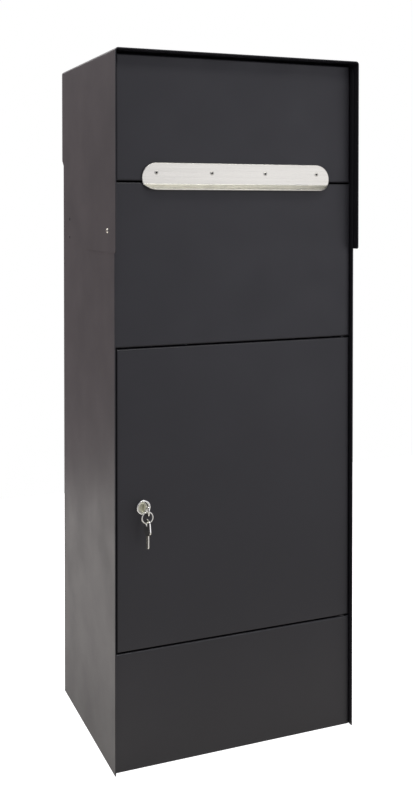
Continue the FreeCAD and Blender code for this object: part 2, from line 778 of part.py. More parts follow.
def parcel_tray():
    """Tray that bars the shaft: a plate with a lip at its free edge and a cheek at each side."""
    back = -tray_plate_offset
    points = [tray_point(tray_plate_start, back),
              tray_point(tray_length, back),
              tray_point(tray_length, back + tray_lip)]
    inside_x = tray_half_width - sheet
    plate = bent_sheet(points[::-1], on_yz, -inside_x, inside_x)
    pin_along, pin_ahead = link_pin_on_tray()
    outline = [(tray_cheek_start, back, 0),
               (tray_length, back, 0),
               (tray_length, back + tray_lip, 3.0),
               (pin_along + 14.0, pin_ahead + tray_cheek_height, 10.0),
               (pin_along - 12.0, pin_ahead + tray_cheek_height, 9.0),
               (tray_cheek_start, tray_cheek_height, 8.0)]
    corners = []
    for along, ahead, radius in outline:
        y, z = tray_point(along, ahead)
        corners.append((y, z, radius))
    cheek = prism(corners, on_yz, -tray_half_width, -inside_x)
    cheek = cheek.cut(rod_x(-tray_half_width - EXTRA, -inside_x + EXTRA, tray_axis_y, tray_axis_z,
                            tray_stud_radius + running_clearance))
    cheek = cheek.cut(rod_x(-tray_half_width - EXTRA, -inside_x + EXTRA, tray_link_y, tray_link_z,
                            link_pin_radius))
    return plate.fuse(cheek).fuse(mirrored(cheek)).removeSplitter()


def tray_edge_guard():
    """Soft strip clipped on the tray's free edge."""
    edge = -tray_plate_offset + tray_lip
    foot = edge - guard_depth
    low = tray_length - sheet - guard_wall
    high = tray_length + guard_wall
    inside_x = tray_half_width - 2 * sheet
    outline = [(low, foot, 0), (high, foot, 0), (high, edge + guard_wall, 1.0), (low, edge + guard_wall, 1.0)]
    slot = [(tray_length - sheet, foot - EXTRA, 0), (tray_length, foot - EXTRA, 0),
            (tray_length, edge, 0), (tray_length - sheet, edge, 0)]
    solids = []
    for shape in (outline, slot):
        corners = []
        for along, ahead, radius in shape:
            y, z = tray_point(along, ahead)
            corners.append((y, z, radius))
        solids.append(prism(corners, on_yz, -inside_x, inside_x))
    return solids[0].cut(solids[1])


def link_bracket():
    """Ear under the hood's top, on the left, that carries the upper end of a link."""
    outside_x = -tray_half_width
    low_z = lid_link_z - ear_corner
    corners = [(lid_link_y - ear_half_width, hood_inner_z, 0),
               (lid_link_y - ear_corner, low_z, ear_corner),
               (lid_link_y + ear_corner, low_z, ear_corner),
               (lid_link_y + ear_half_width, hood_inner_z, 0)]
    ear = prism(corners, on_yz, outside_x, outside_x + sheet)
    foot = box(outside_x, outside_x + ear_foot, lid_link_y - ear_half_width, lid_link_y + ear_half_width,
               hood_inner_z - sheet, hood_inner_z)
    hole = rod_x(outside_x - EXTRA, outside_x + sheet + EXTRA, lid_link_y, lid_link_z, link_pin_radius)
    return ear.fuse(foot).cut(hole).removeSplitter()


def link_pins(y, z):
    """Two headed pins, each through a plate at the tray's half width and through a link."""
    inner_x = -tray_half_width + sheet
    end_x = -link_inner_x - link_thickness - link_head_gap - link_pin_head
    pin = rod_x(end_x, inner_x, y, z, link_pin_radius)
    head = rod_x(end_x, end_x + link_pin_head, y, z, link_pin_head_radius)
    tail = rod_x(inner_x, inner_x + link_pin_tail, y, z, link_pin_tail_radius)
    pin = pin.fuse(head).fuse(tail)
    return Part.makeCompound([pin, mirrored(pin)])


def link_rod():
    """Flat bar on the left between the lid's pin and the tray's pin."""
    run = math.hypot(lid_link_y - tray_link_y, lid_link_z - tray_link_z)
    angle = math.degrees(math.atan2(tray_link_z - lid_link_z, tray_link_y - lid_link_y))
    start_x = -link_inner_x - link_thickness
    bar = box(start_x, -link_inner_x, 0, run, -link_half_width, link_half_width)
    for y in (0, run):
        bar = bar.fuse(rod_x(start_x, -link_inner_x, y, 0, link_half_width))
    bar = bar.removeSplitter()
    for y, radius in ((0, link_pin_radius + running_clearance), (run, link_pin_radius + open_pivot_clearance)):
        bar = bar.cut(rod_x(start_x - EXTRA, -link_inner_x + EXTRA, y, 0, radius))
    bar.rotate(Vector(0, 0, 0), Vector(1, 0, 0), angle)
    bar.translate(Vector(0, lid_link_y, lid_link_z))
    return bar


# ---- door ---------------------------------------------------------------------------------
def door_panel():
    """Door pan with a second bend along its latch edge, and the lock's hole."""
    panel = front_pan(panel_left_x, panel_right_x, door_bottom_z, door_top_z, door_depth)
    lip = box(panel_left_x, panel_left_x + door_lip, door_back_y - sheet, door_back_y,
              door_bottom_z, door_top_z)
    panel = panel.fuse(lip).removeSplitter()
    panel = panel.cut(rod_y(lock_x, panel_face_y - EXTRA, panel_inner_y + EXTRA, lock_z, lock_barrel_radius))
    pin_hole = rod_z(door_axis_x, door_axis_y, door_bottom_z - EXTRA, door_top_z + EXTRA, door_pin_radius)
    return panel.cut(pin_hole)


def door_stiffener():
    """Hat-shaped channel behind the middle of the door."""
    half = stiffener_half_width
    points = [(-half - stiffener_brim, panel_inner_y),
              (-half, panel_inner_y),
              (-half, door_back_y - sheet),
              (half, door_back_y - sheet),
              (half, panel_inner_y),
              (half + stiffener_brim, panel_inner_y)]
    return bent_sheet(points, on_xy, door_bottom_z + stiffener_end_gap, door_top_z - stiffener_end_gap)


def door_hinge_brackets():
    """Angles inside the door's top and bottom corners that hold the pins."""
    inner_x = panel_right_x - sheet
    back_y = door_back_y - 0.5
    thick = door_bracket_thickness
    inward = door_pin_length - door_bracket_inset
    solids = []
    for low_z in (door_bottom_z + inward, door_top_z - inward - thick):
        high_z = low_z + thick
        plate = box(door_axis_x - door_bracket_reach, inner_x, panel_bend_end_y, back_y, low_z, high_z)
        leg = box(inner_x - thick, inner_x, panel_bend_end_y, back_y,
                  low_z - door_bracket_leg, high_z + door_bracket_leg)
        hole = rod_z(door_axis_x, door_axis_y, low_z - EXTRA, high_z + EXTRA, door_pin_radius)
        solids.append(plate.fuse(leg).removeSplitter().cut(hole))
    return Part.makeCompound(solids)


def door_pin(upper):
    """Steel pin that passes from the door into the panel above or below it."""
    if upper:
        high = door_top_z + door_pin_reach
        return rod_z(door_axis_x, door_axis_y, high - door_pin_length, high, door_pin_radius)
    low = door_bottom_z - door_pin_reach
    return rod_z(door_axis_x, door_axis_y, low, low + door_pin_length, door_pin_radius)


def door_pin_washer():
    """Nylon washer on the lower pin that carries the door's weight."""
    outer = rod_z(door_axis_x, door_axis_y, plinth_top_z, door_bottom_z - door_washer_gap,
                  door_washer_radius)
    return outer.cut(rod_z(door_axis_x, door_axis_y, plinth_top_z - EXTRA, door_bottom_z + EXTRA,
                           door_pin_radius + running_clearance))


# ---- lock ---------------------------------------------------------------------------------
def lock_body():
    """Cam lock housing: a round rim, a barrel through the door and a bore for the plug."""
    rim_y = panel_face_y - lock_rim_height
    rim = rod_y(lock_x, rim_y, panel_face_y, lock_z, lock_rim_radius)
    front_edge = [edge for edge in rim.Edges if abs(edge.BoundBox.Center.y - rim_y) < 1e-6
                  and edge.BoundBox.YLength < 1e-6]
    rim = rim.makeFillet(lock_rim_rounding, front_edge)
    barrel = rod_y(lock_x, panel_face_y, lock_barrel_end_y, lock_z, lock_barrel_radius)
    body = rim.fuse(barrel)
    dish = Part.makeCone(lock_rim_radius - lock_rim_width, plug_head_radius + 0.6,
                         lock_rim_height - plug_face_height, Vector(lock_x, rim_y, lock_z), Vector(0, 1, 0))
    head_bore = rod_y(lock_x, rim_y, plug_face_y + plug_head_depth, lock_z,
                      plug_head_radius + running_clearance)
    bore = rod_y(lock_x, rim_y, lock_barrel_end_y + EXTRA, lock_z, plug_radius + running_clearance)
    return body.cut(dish).cut(head_bore).cut(bore).removeSplitter()


def hexagon(x, z, across_flats, y0, y1, bore_radius):
    """Hexagonal nut along Y."""
    radius = across_flats / 2 / math.cos(math.pi / 6)
    corners = []
    for index in range(6):
        angle = math.pi / 6 + index * math.pi / 3
        corners.append((x + radius * math.cos(angle), z + radius * math.sin(angle), 0))
    return prism(corners, on_xz, y0, y1).cut(rod_y(x, y0 - EXTRA, y1 + EXTRA, z, bore_radius))


def lock_nut():
    """Nut that clamps the lock to the door."""
    return hexagon(lock_x, lock_z, lock_nut_across_flats, panel_inner_y, panel_inner_y + lock_nut_thickness,
                   lock_barrel_radius)


def lock_plug():
    """Plug that the key turns, with a square tail for the cam."""
    head = rod_y(lock_x, plug_face_y, plug_face_y + plug_head_depth, lock_z, plug_head_radius)
    core = rod_y(lock_x, plug_face_y, cam_front_y, lock_z, plug_radius)
    half = cam_square / 2
    square = box(lock_x - half, lock_x + half, cam_front_y, cam_end_y, lock_z - half, lock_z + half)
    stud = rod_y(lock_x, cam_end_y, tail_end_y, lock_z, plug_stud_radius)
    plug = head.fuse(core).fuse(square).fuse(stud)
    keyway = box(lock_x - keyway_width / 2, lock_x + keyway_width / 2, plug_face_y - EXTRA, cam_front_y - 1.0,
                 lock_z - keyway_height / 2, lock_z + keyway_height / 2)
    return plug.cut(keyway).removeSplitter()


def lock_cam():
    """Flat cam that hangs down when unlocked, and swings behind the strike plate when locked."""
    left = lock_x - cam_half_width
    right = lock_x + cam_half_width
    top = lock_z + cam_half_width + 2.0
    bottom = lock_z - cam_reach
    round_top = cam_half_width - 1.0
    corners = [(left, top, round_top), (left, bottom, cam_end_corner),
               (right, bottom, cam_end_corner), (right, top, round_top)]
    cam = prism(corners, on_xz, cam_front_y, cam_end_y)
    half = cam_square / 2
    return cam.cut(box(lock_x - half, lock_x + half, cam_front_y - EXTRA, cam_end_y + EXTRA,
                       lock_z - half, lock_z + half))


def cam_washer():
    """Washer between the cam and its nut."""
    end_y = cam_end_y + cam_washer_thickness
    outer = rod_y(lock_x, cam_end_y, end_y, lock_z, cam_washer_radius)
    return outer.cut(rod_y(lock_x, cam_end_y - EXTRA, end_y + EXTRA, lock_z, plug_stud_radius))


def cam_nut():
    """Nut that holds the cam on the plug."""
    start_y = cam_end_y + cam_washer_thickness
    return hexagon(lock_x, lock_z, cam_nut_across_flats, start_y, start_y + cam_nut_thickness,
                   plug_stud_radius)


# ---- keys ---------------------------------------------------------------------------------
def flat_key():
    """Key in the X-Z plane with its blade down, the centre of its hole at the origin."""
    top = key_hole_from_end
    bottom = top - key_bow_length
    half_end = key_bow_end_width / 2
    half = key_bow_width / 2
    half_blade = key_blade_width / 2
    tip = bottom - key_blade_length
    corners = [(-half_end, top, key_bow_end_corner), (-half, bottom + key_shoulder, key_shoulder_corner),
               (-half_blade, bottom, 0), (-half_blade, tip, key_tip_corner),
               (half_blade, tip, key_tip_corner), (half_blade, bottom, 0),
               (half, bottom + key_shoulder, key_shoulder_corner), (half_end, top, key_bow_end_corner)]
    key = prism(corners, on_xz, -key_thickness / 2, key_thickness / 2)
    return key.cut(rod_y(0, -key_thickness, key_thickness, 0, key_hole_radius))


def door_key():
    """Key that stands in the lock, its bow upright."""
    key = flat_key()
    key.rotate(Vector(0, 0, 0), Vector(0, 0, 1), 90)
    key.rotate(Vector(0, 0, 0), Vector(1, 0, 0), 90)
    key.translate(Vector(lock_x, key_hole_y, lock_z))
    return key


def key_ring():
    """Wire ring through the bow of the key in the lock."""
    return Part.makeTorus(ring_radius, ring_wire_radius, Vector(lock_x, key_hole_y, ring_centre_z),
                          Vector(0, 1, 0))


def spare_key():
    """Second key, hanging from the ring."""
    key = flat_key()
    key.rotate(Vector(0, 0, 0), Vector(0, 0, 1), 90 + spare_key_turn)
    key.translate(Vector(lock_x, key_hole_y, spare_hole_z))
    return key


def main():
    """Write every sub-part."""
    os.makedirs("parts", exist_ok=True)
    parts = {
        "left_side_wall": side_wall(),
        "right_side_wall": mirrored(side_wall()),
        "rear_wall": rear_wall(),
        "base_pan": base_pan(),
        "plinth_panel": plinth_panel(),
        "fascia_panel": fascia_panel(),
        "latch_jamb": latch_jamb(),
        "hinge_jamb": hinge_jamb(),
        "strike_plate": strike_plate(),
        "rear_deflector": rear_deflector(),
        "tray_bracket_left": tray_bracket(),
        "tray_bracket_right": mirrored(tray_bracket()),
        "tray_washers": tray_washers(),
        "tray_clips": tray_clips(),
        "wall_rivets": wall_rivets(),
        "lid_hinge_fixed_leaf": hinge_leaf(fixed=True),
        "lid_hinge_pin": lid_hinge_pin(),
        "lid_buffers": lid_buffers(),
        "door_buffers": door_buffers(),
        "door_pin_washer": door_pin_washer(),
        "hood_shell": hood_shell(),
        "lid_flap": lid_flap(),
        "flap_gussets": flap_gussets(),
        "lid_hinge_moving_leaf": hinge_leaf(fixed=False),
        "pull_handle": pull_handle(),
        "handle_backing": handle_backing(),
        "handle_rivets": handle_rivets(),
        "glide_pads": glide_pads(),
        "glide_screws": glide_screws(),
        "link_bracket_left": link_bracket(),
        "link_bracket_right": mirrored(link_bracket()),
        "lid_link_pins": link_pins(lid_link_y, lid_link_z),
        "parcel_tray": parcel_tray(),
        "tray_edge_guard": tray_edge_guard(),
        "tray_link_pins": link_pins(tray_link_y, tray_link_z),
        "link_rod_left": link_rod(),
        "link_rod_right": mirrored(link_rod()),
        "door_panel": door_panel(),
        "door_stiffener": door_stiffener(),
        "door_hinge_brackets": door_hinge_brackets(),
        "door_pin_upper": door_pin(upper=True),
        "door_pin_lower": door_pin(upper=False),
        "lock_body": lock_body(),
        "lock_nut": lock_nut(),
        "lock_plug": lock_plug(),
        "lock_cam": lock_cam(),
        "cam_washer": cam_washer(),
        "cam_nut": cam_nut(),
        "door_key": door_key(),
        "key_ring": key_ring(),
        "spare_key": spare_key(),
    }
    for name, shape in parts.items():
        save(name, shape)
    print(len(parts), "sub-parts written")


main()
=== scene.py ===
"""Looks of the parcel drop box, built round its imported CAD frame.

Metres, in the frame of the CAD model: +X to the right, +Y to the back, +Z up, floor at Z 0.
Sheet-metal nodes stay as they are and get rounded edges by modifiers. The handle, the rivets,
the screws, the lock, the keys and the key ring are finer meshes that replace their nodes.
"""

import json
import math

import bmesh
import bpy
from mathutils import Matrix, Vector


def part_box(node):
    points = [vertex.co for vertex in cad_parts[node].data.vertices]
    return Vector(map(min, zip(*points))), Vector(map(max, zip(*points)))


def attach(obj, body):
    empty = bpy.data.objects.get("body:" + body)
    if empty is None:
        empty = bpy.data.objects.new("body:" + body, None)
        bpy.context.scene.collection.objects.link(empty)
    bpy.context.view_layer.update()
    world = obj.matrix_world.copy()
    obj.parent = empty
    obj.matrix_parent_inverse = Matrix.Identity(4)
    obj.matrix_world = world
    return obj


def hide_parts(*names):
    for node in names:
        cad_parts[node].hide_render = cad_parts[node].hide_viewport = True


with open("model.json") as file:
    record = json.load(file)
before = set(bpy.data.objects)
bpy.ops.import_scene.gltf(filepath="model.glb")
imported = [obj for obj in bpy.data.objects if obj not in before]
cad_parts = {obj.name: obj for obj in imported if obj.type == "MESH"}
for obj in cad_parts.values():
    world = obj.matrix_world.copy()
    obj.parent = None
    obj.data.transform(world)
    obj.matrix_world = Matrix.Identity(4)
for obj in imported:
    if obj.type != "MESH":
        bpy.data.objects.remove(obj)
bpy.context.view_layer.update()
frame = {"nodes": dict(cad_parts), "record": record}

MM = 0.001

# ---- camera ---------------------------------------------------------------------------------
CAMERA_PLACE = (-0.6470, -1.5912, 0.8401)
CAMERA_HEADING = 22.285        # degrees from +Y towards +X
CAMERA_DIP = 1.025             # degrees below the horizon
CAMERA_LENS = 46.50            # mm on a 36 mm sensor
CAMERA_SHIFT = -0.2192

# ---- sizes that repeat the CAD --------------------------------------------------------------
SHEET = 1.5 * MM
HANDLE_PLATE = 2.0 * MM
HANDLE_RADIUS = 22.6 * MM
HANDLE_FOLD_BELOW_TOP = 31.8 * MM
HANDLE_LIP_ANGLE = math.radians(52.0)
HANDLE_BEND_RADIUS = 1.5 * MM  # inside radius of the lip's bend
HANDLE_ROUNDING = 0.85 * MM    # of the plate's edges
HANDLE_BACKING = 0.6 * MM
RIVET_HEIGHT = 890.0 * MM
RIVET_PITCH = 89.5 * MM
RIVET_COUNT = 4
GLIDE_Y = -119.5 * MM
GLIDE_Z = 803.5 * MM
GLIDE_SOCKET_FLATS = 2.4 * MM
SHANK_RADIUS = 2.0 * MM
LOCK_RIM_HEIGHT = 3.0 * MM
LOCK_RIM_RADIUS = 11.0 * MM
LOCK_RIM_ROUNDING = 1.3 * MM
LOCK_BARREL_RADIUS = 9.0 * MM
BARREL_THREAD_PITCH = 1.0 * MM
BARREL_THREAD_DEPTH = 0.5 * MM
PLUG_FACE_HEIGHT = 2.2 * MM
PLUG_HEAD_RADIUS = 7.0 * MM
PLUG_HEAD_DEPTH = 2.0 * MM
PLUG_RADIUS = 6.0 * MM
PLUG_CLEARANCE = 0.05 * MM     # between the plug and its bore
PLUG_HEAD_CLEARANCE = 0.08 * MM
KEYWAY_WIDTH = 2.4 * MM
KEYWAY_HEIGHT = 9.0 * MM
CAM_SQUARE = 7.0 * MM
STUD_RADIUS = 3.0 * MM
STUD_THREAD_PITCH = 0.5 * MM
STUD_THREAD_DEPTH = 0.3 * MM
KEY_BOW_LENGTH = 24.0 * MM
KEY_BOW_WIDTH = 21.0 * MM
KEY_BOW_END_WIDTH = 15.5 * MM
KEY_BOW_END_CORNER = 6.5 * MM
KEY_SHOULDER = 4.0 * MM
KEY_SHOULDER_CORNER = 5.0 * MM
KEY_BLADE_WIDTH = 8.0 * MM
KEY_BLADE_LENGTH = 20.0 * MM
KEY_THICKNESS = 2.0 * MM
KEY_HOLE_RADIUS = 3.2 * MM
KEY_ROUNDING = 0.35 * MM       # of the key's edges
KEY_HOLE_FROM_END = 8.0 * MM
SPARE_KEY_TURN = 9.0           # degrees about the vertical
RING_RADIUS = 8.4 * MM
RING_HALF_WIDTH = 0.78 * MM    # of the flat wire, outwards
RING_HALF_TURN = 0.38 * MM     # of the flat wire, along the ring's axis


def make_camera():
    """Camera at the height and heading from which the box's front and left side show."""
    data = bpy.data.cameras.new("camera")
    data.sensor_width = 36.0
    data.lens = CAMERA_LENS
    data.shift_y = CAMERA_SHIFT
    data.clip_start = 0.05
    camera = bpy.data.objects.new("camera", data)
    camera.location = CAMERA_PLACE
    camera.rotation_euler = (math.radians(90.0 - CAMERA_DIP), 0.0, math.radians(-CAMERA_HEADING))
    bpy.context.scene.collection.objects.link(camera)
    bpy.context.scene.camera = camera


# ---- material nodes -------------------------------------------------------------------------
class Shader:
    """A material with one Principled shader, and short ways to add nodes that feed it."""

    def __init__(self, name, **values):
        self.material = bpy.data.materials.new(name)
        self.material.use_nodes = True
        self.tree = self.material.node_tree
        self.principled = self.tree.nodes["Principled BSDF"]
        self.place = self.tree.nodes.new("ShaderNodeTexCoord").outputs["Object"]
        for socket, value in values.items():
            self.principled.inputs[socket.replace("_", " ")].default_value = value

    def stretched(self, scale, shift=(0.0, 0.0, 0.0)):
        """Object coordinates moved and scaled along each axis."""
        mapping = self.tree.nodes.new("ShaderNodeMapping")
        mapping.inputs["Location"].default_value = [-a * b for a, b in zip(shift, scale)]
        mapping.inputs["Scale"].default_value = scale
        self.tree.links.new(self.place, mapping.inputs["Vector"])
        return mapping.outputs["Vector"]

    def noise(self, scale, detail=2.0, vector=None):
        """Noise from 0 to 1 with grains about 1/scale metres wide."""
        node = self.tree.nodes.new("ShaderNodeTexNoise")
        node.inputs["Scale"].default_value = scale
        node.inputs["Detail"].default_value = detail
        self.tree.links.new(vector or self.place, node.inputs["Vector"])
        return node.outputs["Fac"]

    def cells(self, scale):
        """A random value for each crystal-like cell."""
        node = self.tree.nodes.new("ShaderNodeTexVoronoi")
        node.inputs["Scale"].default_value = scale
        self.tree.links.new(self.place, node.inputs["Vector"])
        split = self.tree.nodes.new("ShaderNodeSeparateColor")
        self.tree.links.new(node.outputs["Color"], split.inputs["Color"])
        return split.outputs["Red"]

    def rings(self, centre, per_metre):
        """Turning marks round an axis along Y."""
        node = self.tree.nodes.new("ShaderNodeTexWave")
        node.wave_type = "RINGS"
        node.rings_direction = "Y"
        node.inputs["Scale"].default_value = per_metre
        node.inputs["Distortion"].default_value = 1.5
        node.inputs["Detail Scale"].default_value = 2.0
        self.tree.links.new(self.stretched((1.0, 1.0, 1.0), centre), node.inputs["Vector"])
        return node.outputs["Fac"]

    def between(self, factor, low, high):
        """Value that runs from low to high as a factor runs from 0.3 to 0.7."""
        node = self.tree.nodes.new("ShaderNodeMapRange")
        node.inputs["From Min"].default_value = 0.3
        node.inputs["From Max"].default_value = 0.7
        node.inputs["To Min"].default_value = low
        node.inputs["To Max"].default_value = high
        self.tree.links.new(factor, node.inputs["Value"])
        return node.outputs["Result"]

    def mixed(self, factor, dark, light):
        """Colour between two colours."""
        node = self.tree.nodes.new("ShaderNodeMix")
        node.data_type = "RGBA"
        node.inputs["A"].default_value = (*dark, 1.0)
        node.inputs["B"].default_value = (*light, 1.0)
        self.tree.links.new(factor, node.inputs["Factor"])
        return node.outputs["Result"]

    def colour(self, factor, dark, light):
        """Base colour that varies between two colours."""
        self.tree.links.new(self.mixed(self.between(factor, 0.0, 1.0), dark, light),
                            self.principled.inputs["Base Color"])

    def roughness(self, factor, low, high):
        """Roughness that varies between two values."""
        self.tree.links.new(self.between(factor, low, high), self.principled.inputs["Roughness"])

    def bump(self, *layers):
        """Bump from (height, depth in metres, strength) layers, one on top of another."""
        normal = None
        for height, depth, strength in layers:
            node = self.tree.nodes.new("ShaderNodeBump")
            node.inputs["Distance"].default_value = depth
            node.inputs["Strength"].default_value = strength
            self.tree.links.new(height, node.inputs["Height"])
            if normal:
                self.tree.links.new(normal, node.inputs["Normal"])
            normal = node.outputs["Normal"]
        self.tree.links.new(normal, self.principled.inputs["Normal"])


def powder_coat():
    """Anthracite powder coat: fine even grain over a slight orange peel."""
    shader = Shader("painted_steel", Specular_IOR_Level=0.50)
    shader.colour(shader.noise(6.0, 4.0), (0.0108, 0.0105, 0.0128), (0.0132, 0.0128, 0.0154))
    shader.roughness(shader.noise(14.0, 3.0), 0.40, 0.47)
    shader.bump((shader.noise(420.0, 1.0), 0.03 * MM, 0.18), (shader.noise(2400.0, 2.0), 0.02 * MM, 0.45))
    return shader.material


def brushed_stainless():
    """Stainless steel brushed along X."""
    shader = Shader("stainless", Metallic=1.0)
    streaks = shader.noise(1.0, 3.0, shader.stretched((14.0, 2600.0, 2600.0)))
    broad = shader.noise(1.0, 2.0, shader.stretched((5.0, 240.0, 240.0)))
    shader.colour(broad, (0.625, 0.612, 0.540), (0.680, 0.664, 0.588))
    shader.roughness(streaks, 0.23, 0.31)
    shader.bump((streaks, 0.010 * MM, 0.16))
    return shader.material


def zinc_plate():
    """Bright zinc plating with a faint spangle."""
    shader = Shader("zinc_steel", Metallic=1.0)
    shader.colour(shader.cells(160.0), (0.500, 0.515, 0.530), (0.610, 0.615, 0.610))
    shader.roughness(shader.noise(90.0, 3.0), 0.28, 0.42)
    shader.bump((shader.noise(1500.0, 2.0), 0.010 * MM, 0.3))
    return shader.material


def mandrel_painted_shade():
    """Rough steel of the rivets' broken mandrels, coloured near black as painted shade in the rivets'
    hollows.
    """
    shader = Shader("mandrel_painted_shade", Metallic=1.0)
    shader.colour(shader.noise(1800.0, 3.0), (0.030, 0.029, 0.027), (0.070, 0.067, 0.063))
    shader.roughness(shader.noise(1500.0, 2.0), 0.40, 0.60)
    shader.bump((shader.noise(2600.0, 3.0), 0.03 * MM, 0.6))
    return shader.material


def polished_chrome():
    """Chromed zinc casting with a few hairline scratches."""
    shader = Shader("lock_chrome", Metallic=1.0)
    scratches = shader.noise(1.0, 2.0, shader.stretched((4200.0, 500.0, 300.0)))
    shader.colour(shader.noise(260.0, 2.0), (0.900, 0.905, 0.850), (0.950, 0.955, 0.905))
    shader.roughness(scratches, 0.08, 0.17)
    shader.bump((shader.noise(700.0, 2.0), 0.004 * MM, 0.25))
    return shader.material


def satin_nickel(lock_axis):
    """Satin nickel with turning marks round the lock's axis."""
    shader = Shader("lock_nickel", Metallic=1.0)
    marks = shader.rings(lock_axis, 700.0)
    shader.colour(shader.noise(500.0, 3.0), (0.640, 0.640, 0.480), (0.720, 0.720, 0.560))
    shader.roughness(marks, 0.30, 0.44)
    shader.bump((marks, 0.006 * MM, 0.4))
    return shader.material


def key_nickel():
    """Nickel-plated key brass, polished and lightly handled."""
    shader = Shader("key_nickel", Metallic=1.0)
    shader.colour(shader.noise(320.0, 3.0), (0.830, 0.825, 0.750), (0.900, 0.895, 0.830))
    shader.roughness(shader.noise(900.0, 3.0), 0.07, 0.19)
    shader.bump((shader.noise(1.0, 2.0, shader.stretched((600.0, 600.0, 5200.0))), 0.004 * MM, 0.25))
    return shader.material


def rubber():
    """Matte black rubber."""
    shader = Shader("rubber", Specular_IOR_Level=0.35)
    shader.colour(shader.noise(300.0, 3.0), (0.012, 0.012, 0.012), (0.024, 0.023, 0.022))
    shader.roughness(shader.noise(200.0, 2.0), 0.72, 0.90)
    shader.bump((shader.noise(1600.0, 3.0), 0.03 * MM, 0.5))
    return shader.material


def nylon():
    """Black moulded nylon."""
    shader = Shader("nylon", Specular_IOR_Level=0.45)
    shader.colour(shader.noise(200.0, 2.0), (0.017, 0.017, 0.018), (0.028, 0.028, 0.029))
    shader.roughness(shader.noise(260.0, 2.0), 0.42, 0.56)
    shader.bump((shader.noise(900.0, 2.0), 0.015 * MM, 0.4))
    return shader.material


# ---- CAD nodes: materials and rounded edges -------------------------------------------------
EDGE_ROUNDING = {
    "painted_steel": 0.45 * MM,
    "zinc_steel": 0.20 * MM,
    "rubber": 0.30 * MM,
    "nylon": 0.15 * MM,
}


def smooth_group():
    """Geometry nodes that flag all faces as smooth, for the weighted normals after them."""
    group = bpy.data.node_groups.new("smooth_faces", "GeometryNodeTree")
    group.interface.new_socket("Geometry", in_out="INPUT", socket_type="NodeSocketGeometry")
    group.interface.new_socket("Geometry", in_out="OUTPUT", socket_type="NodeSocketGeometry")
    start = group.nodes.new("NodeGroupInput")
    smooth = group.nodes.new("GeometryNodeSetShadeSmooth")
    end = group.nodes.new("NodeGroupOutput")
    group.links.new(start.outputs["Geometry"], smooth.inputs["Geometry"])
    group.links.new(smooth.outputs["Geometry"], end.inputs["Geometry"])
    return group


WELD_DISTANCE = 0.002 * MM
FLAT_ANGLE = math.radians(0.5)       # faces that meet at less are one flat face
ROUNDED_ANGLE = math.radians(40.0)   # edges that turn by more are rounded


def round_edges(piece, width, smoother):
    """Round a node's sharp edges by modifiers, and even out its normals."""
    weld = piece.modifiers.new("join_corners", "WELD")
    weld.merge_threshold = WELD_DISTANCE
    flatten = piece.modifiers.new("join_flat_faces", "DECIMATE")
    flatten.decimate_type = "DISSOLVE"
    flatten.angle_limit = FLAT_ANGLE
    bevel = piece.modifiers.new("round_edges", "BEVEL")
    bevel.width = width
    bevel.segments = 2
    bevel.limit_method = "ANGLE"
    bevel.angle_limit = ROUNDED_ANGLE
    bevel.miter_outer = "MITER_ARC"
    smooth = piece.modifiers.new("smooth_faces", "NODES")
    smooth.node_group = smoother
    even = piece.modifiers.new("even_normals", "WEIGHTED_NORMAL")
    even.keep_sharp = False


def dress_cad_nodes(materials):
    """Give each CAD node its slot's material, and rounded edges where its slot has them."""
    smoother = smooth_group()
    for subpart in frame["record"]["subparts"]:
        piece = frame["nodes"][subpart["node"]]
        slot = subpart["material_slot"]
        for place in piece.material_slots:
            place.material = materials[slot]
        if slot in EDGE_ROUNDING:
            round_edges(piece, EDGE_ROUNDING[slot], smoother)


# ---- mesh helpers ---------------------------------------------------------------------------
SHARP_ANGLE = math.radians(38.0)     # edges that turn by more stay sharp in the shading
MERGE_DISTANCE = 0.0005 * MM


def add_piece(name, shape, material, body, slot, *nodes):
    """Make a piece from a bmesh, on a body, in place of CAD nodes. The slot argument is not used."""
    bmesh.ops.remove_doubles(shape, verts=shape.verts, dist=MERGE_DISTANCE)
    bmesh.ops.recalc_face_normals(shape, faces=shape.faces)
    mesh = bpy.data.meshes.new(name)
    shape.to_mesh(mesh)
    shape.free()
    mesh.materials.append(material)
    mesh.shade_smooth()
    mesh.set_sharp_from_angle(angle=SHARP_ANGLE)
    piece = bpy.data.objects.new(name, mesh)
    bpy.context.scene.collection.objects.link(piece)
    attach(piece, body)
    if nodes:
        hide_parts(*nodes)
    return piece


def grid_faces(shape, rows, closed_rows=False, closed_columns=False):
    """Quads between rows of vertices, and triangles where a row is one vertex."""
    pairs = list(zip(rows, rows[1:]))
    if closed_rows:
        pairs.append((rows[-1], rows[0]))
    for first, second in pairs:
        count = max(len(first), len(second))
        last = count if closed_columns else count - 1
        for index in range(last):
            following = (index + 1) % count
            corners = []
            for row, steps in ((first, (index, following)), (second, (following, index))):
                corners += [row[0]] if len(row) == 1 else [row[step] for step in steps]
            if len(set(corners)) > 2:
                shape.faces.new(corners)


def turned(shape, profile, place, segments=96, closed=False):
    """Surface of revolution. place(radius, along, angle) gives each point of the profile."""
    rows = []
    for radius, along in profile:
        if radius <= 0.0:
            rows.append([shape.verts.new(place(0.0, along, 0.0))])
            continue
        row = []
        for index in range(segments):
            row.append(shape.verts.new(place(radius, along, 2 * math.pi * index / segments)))
        rows.append(row)
    grid_faces(shape, rows, closed_rows=closed, closed_columns=True)


def round_corner(centre_u, centre_v, radius, start, end, steps=6):
    """Points of an arc, angles in degrees."""
    points = []
    for step in range(steps + 1):
        angle = math.radians(start + (end - start) * step / steps)
        points.append((centre_u + radius * math.cos(angle), centre_v + radius * math.sin(angle)))
    return points


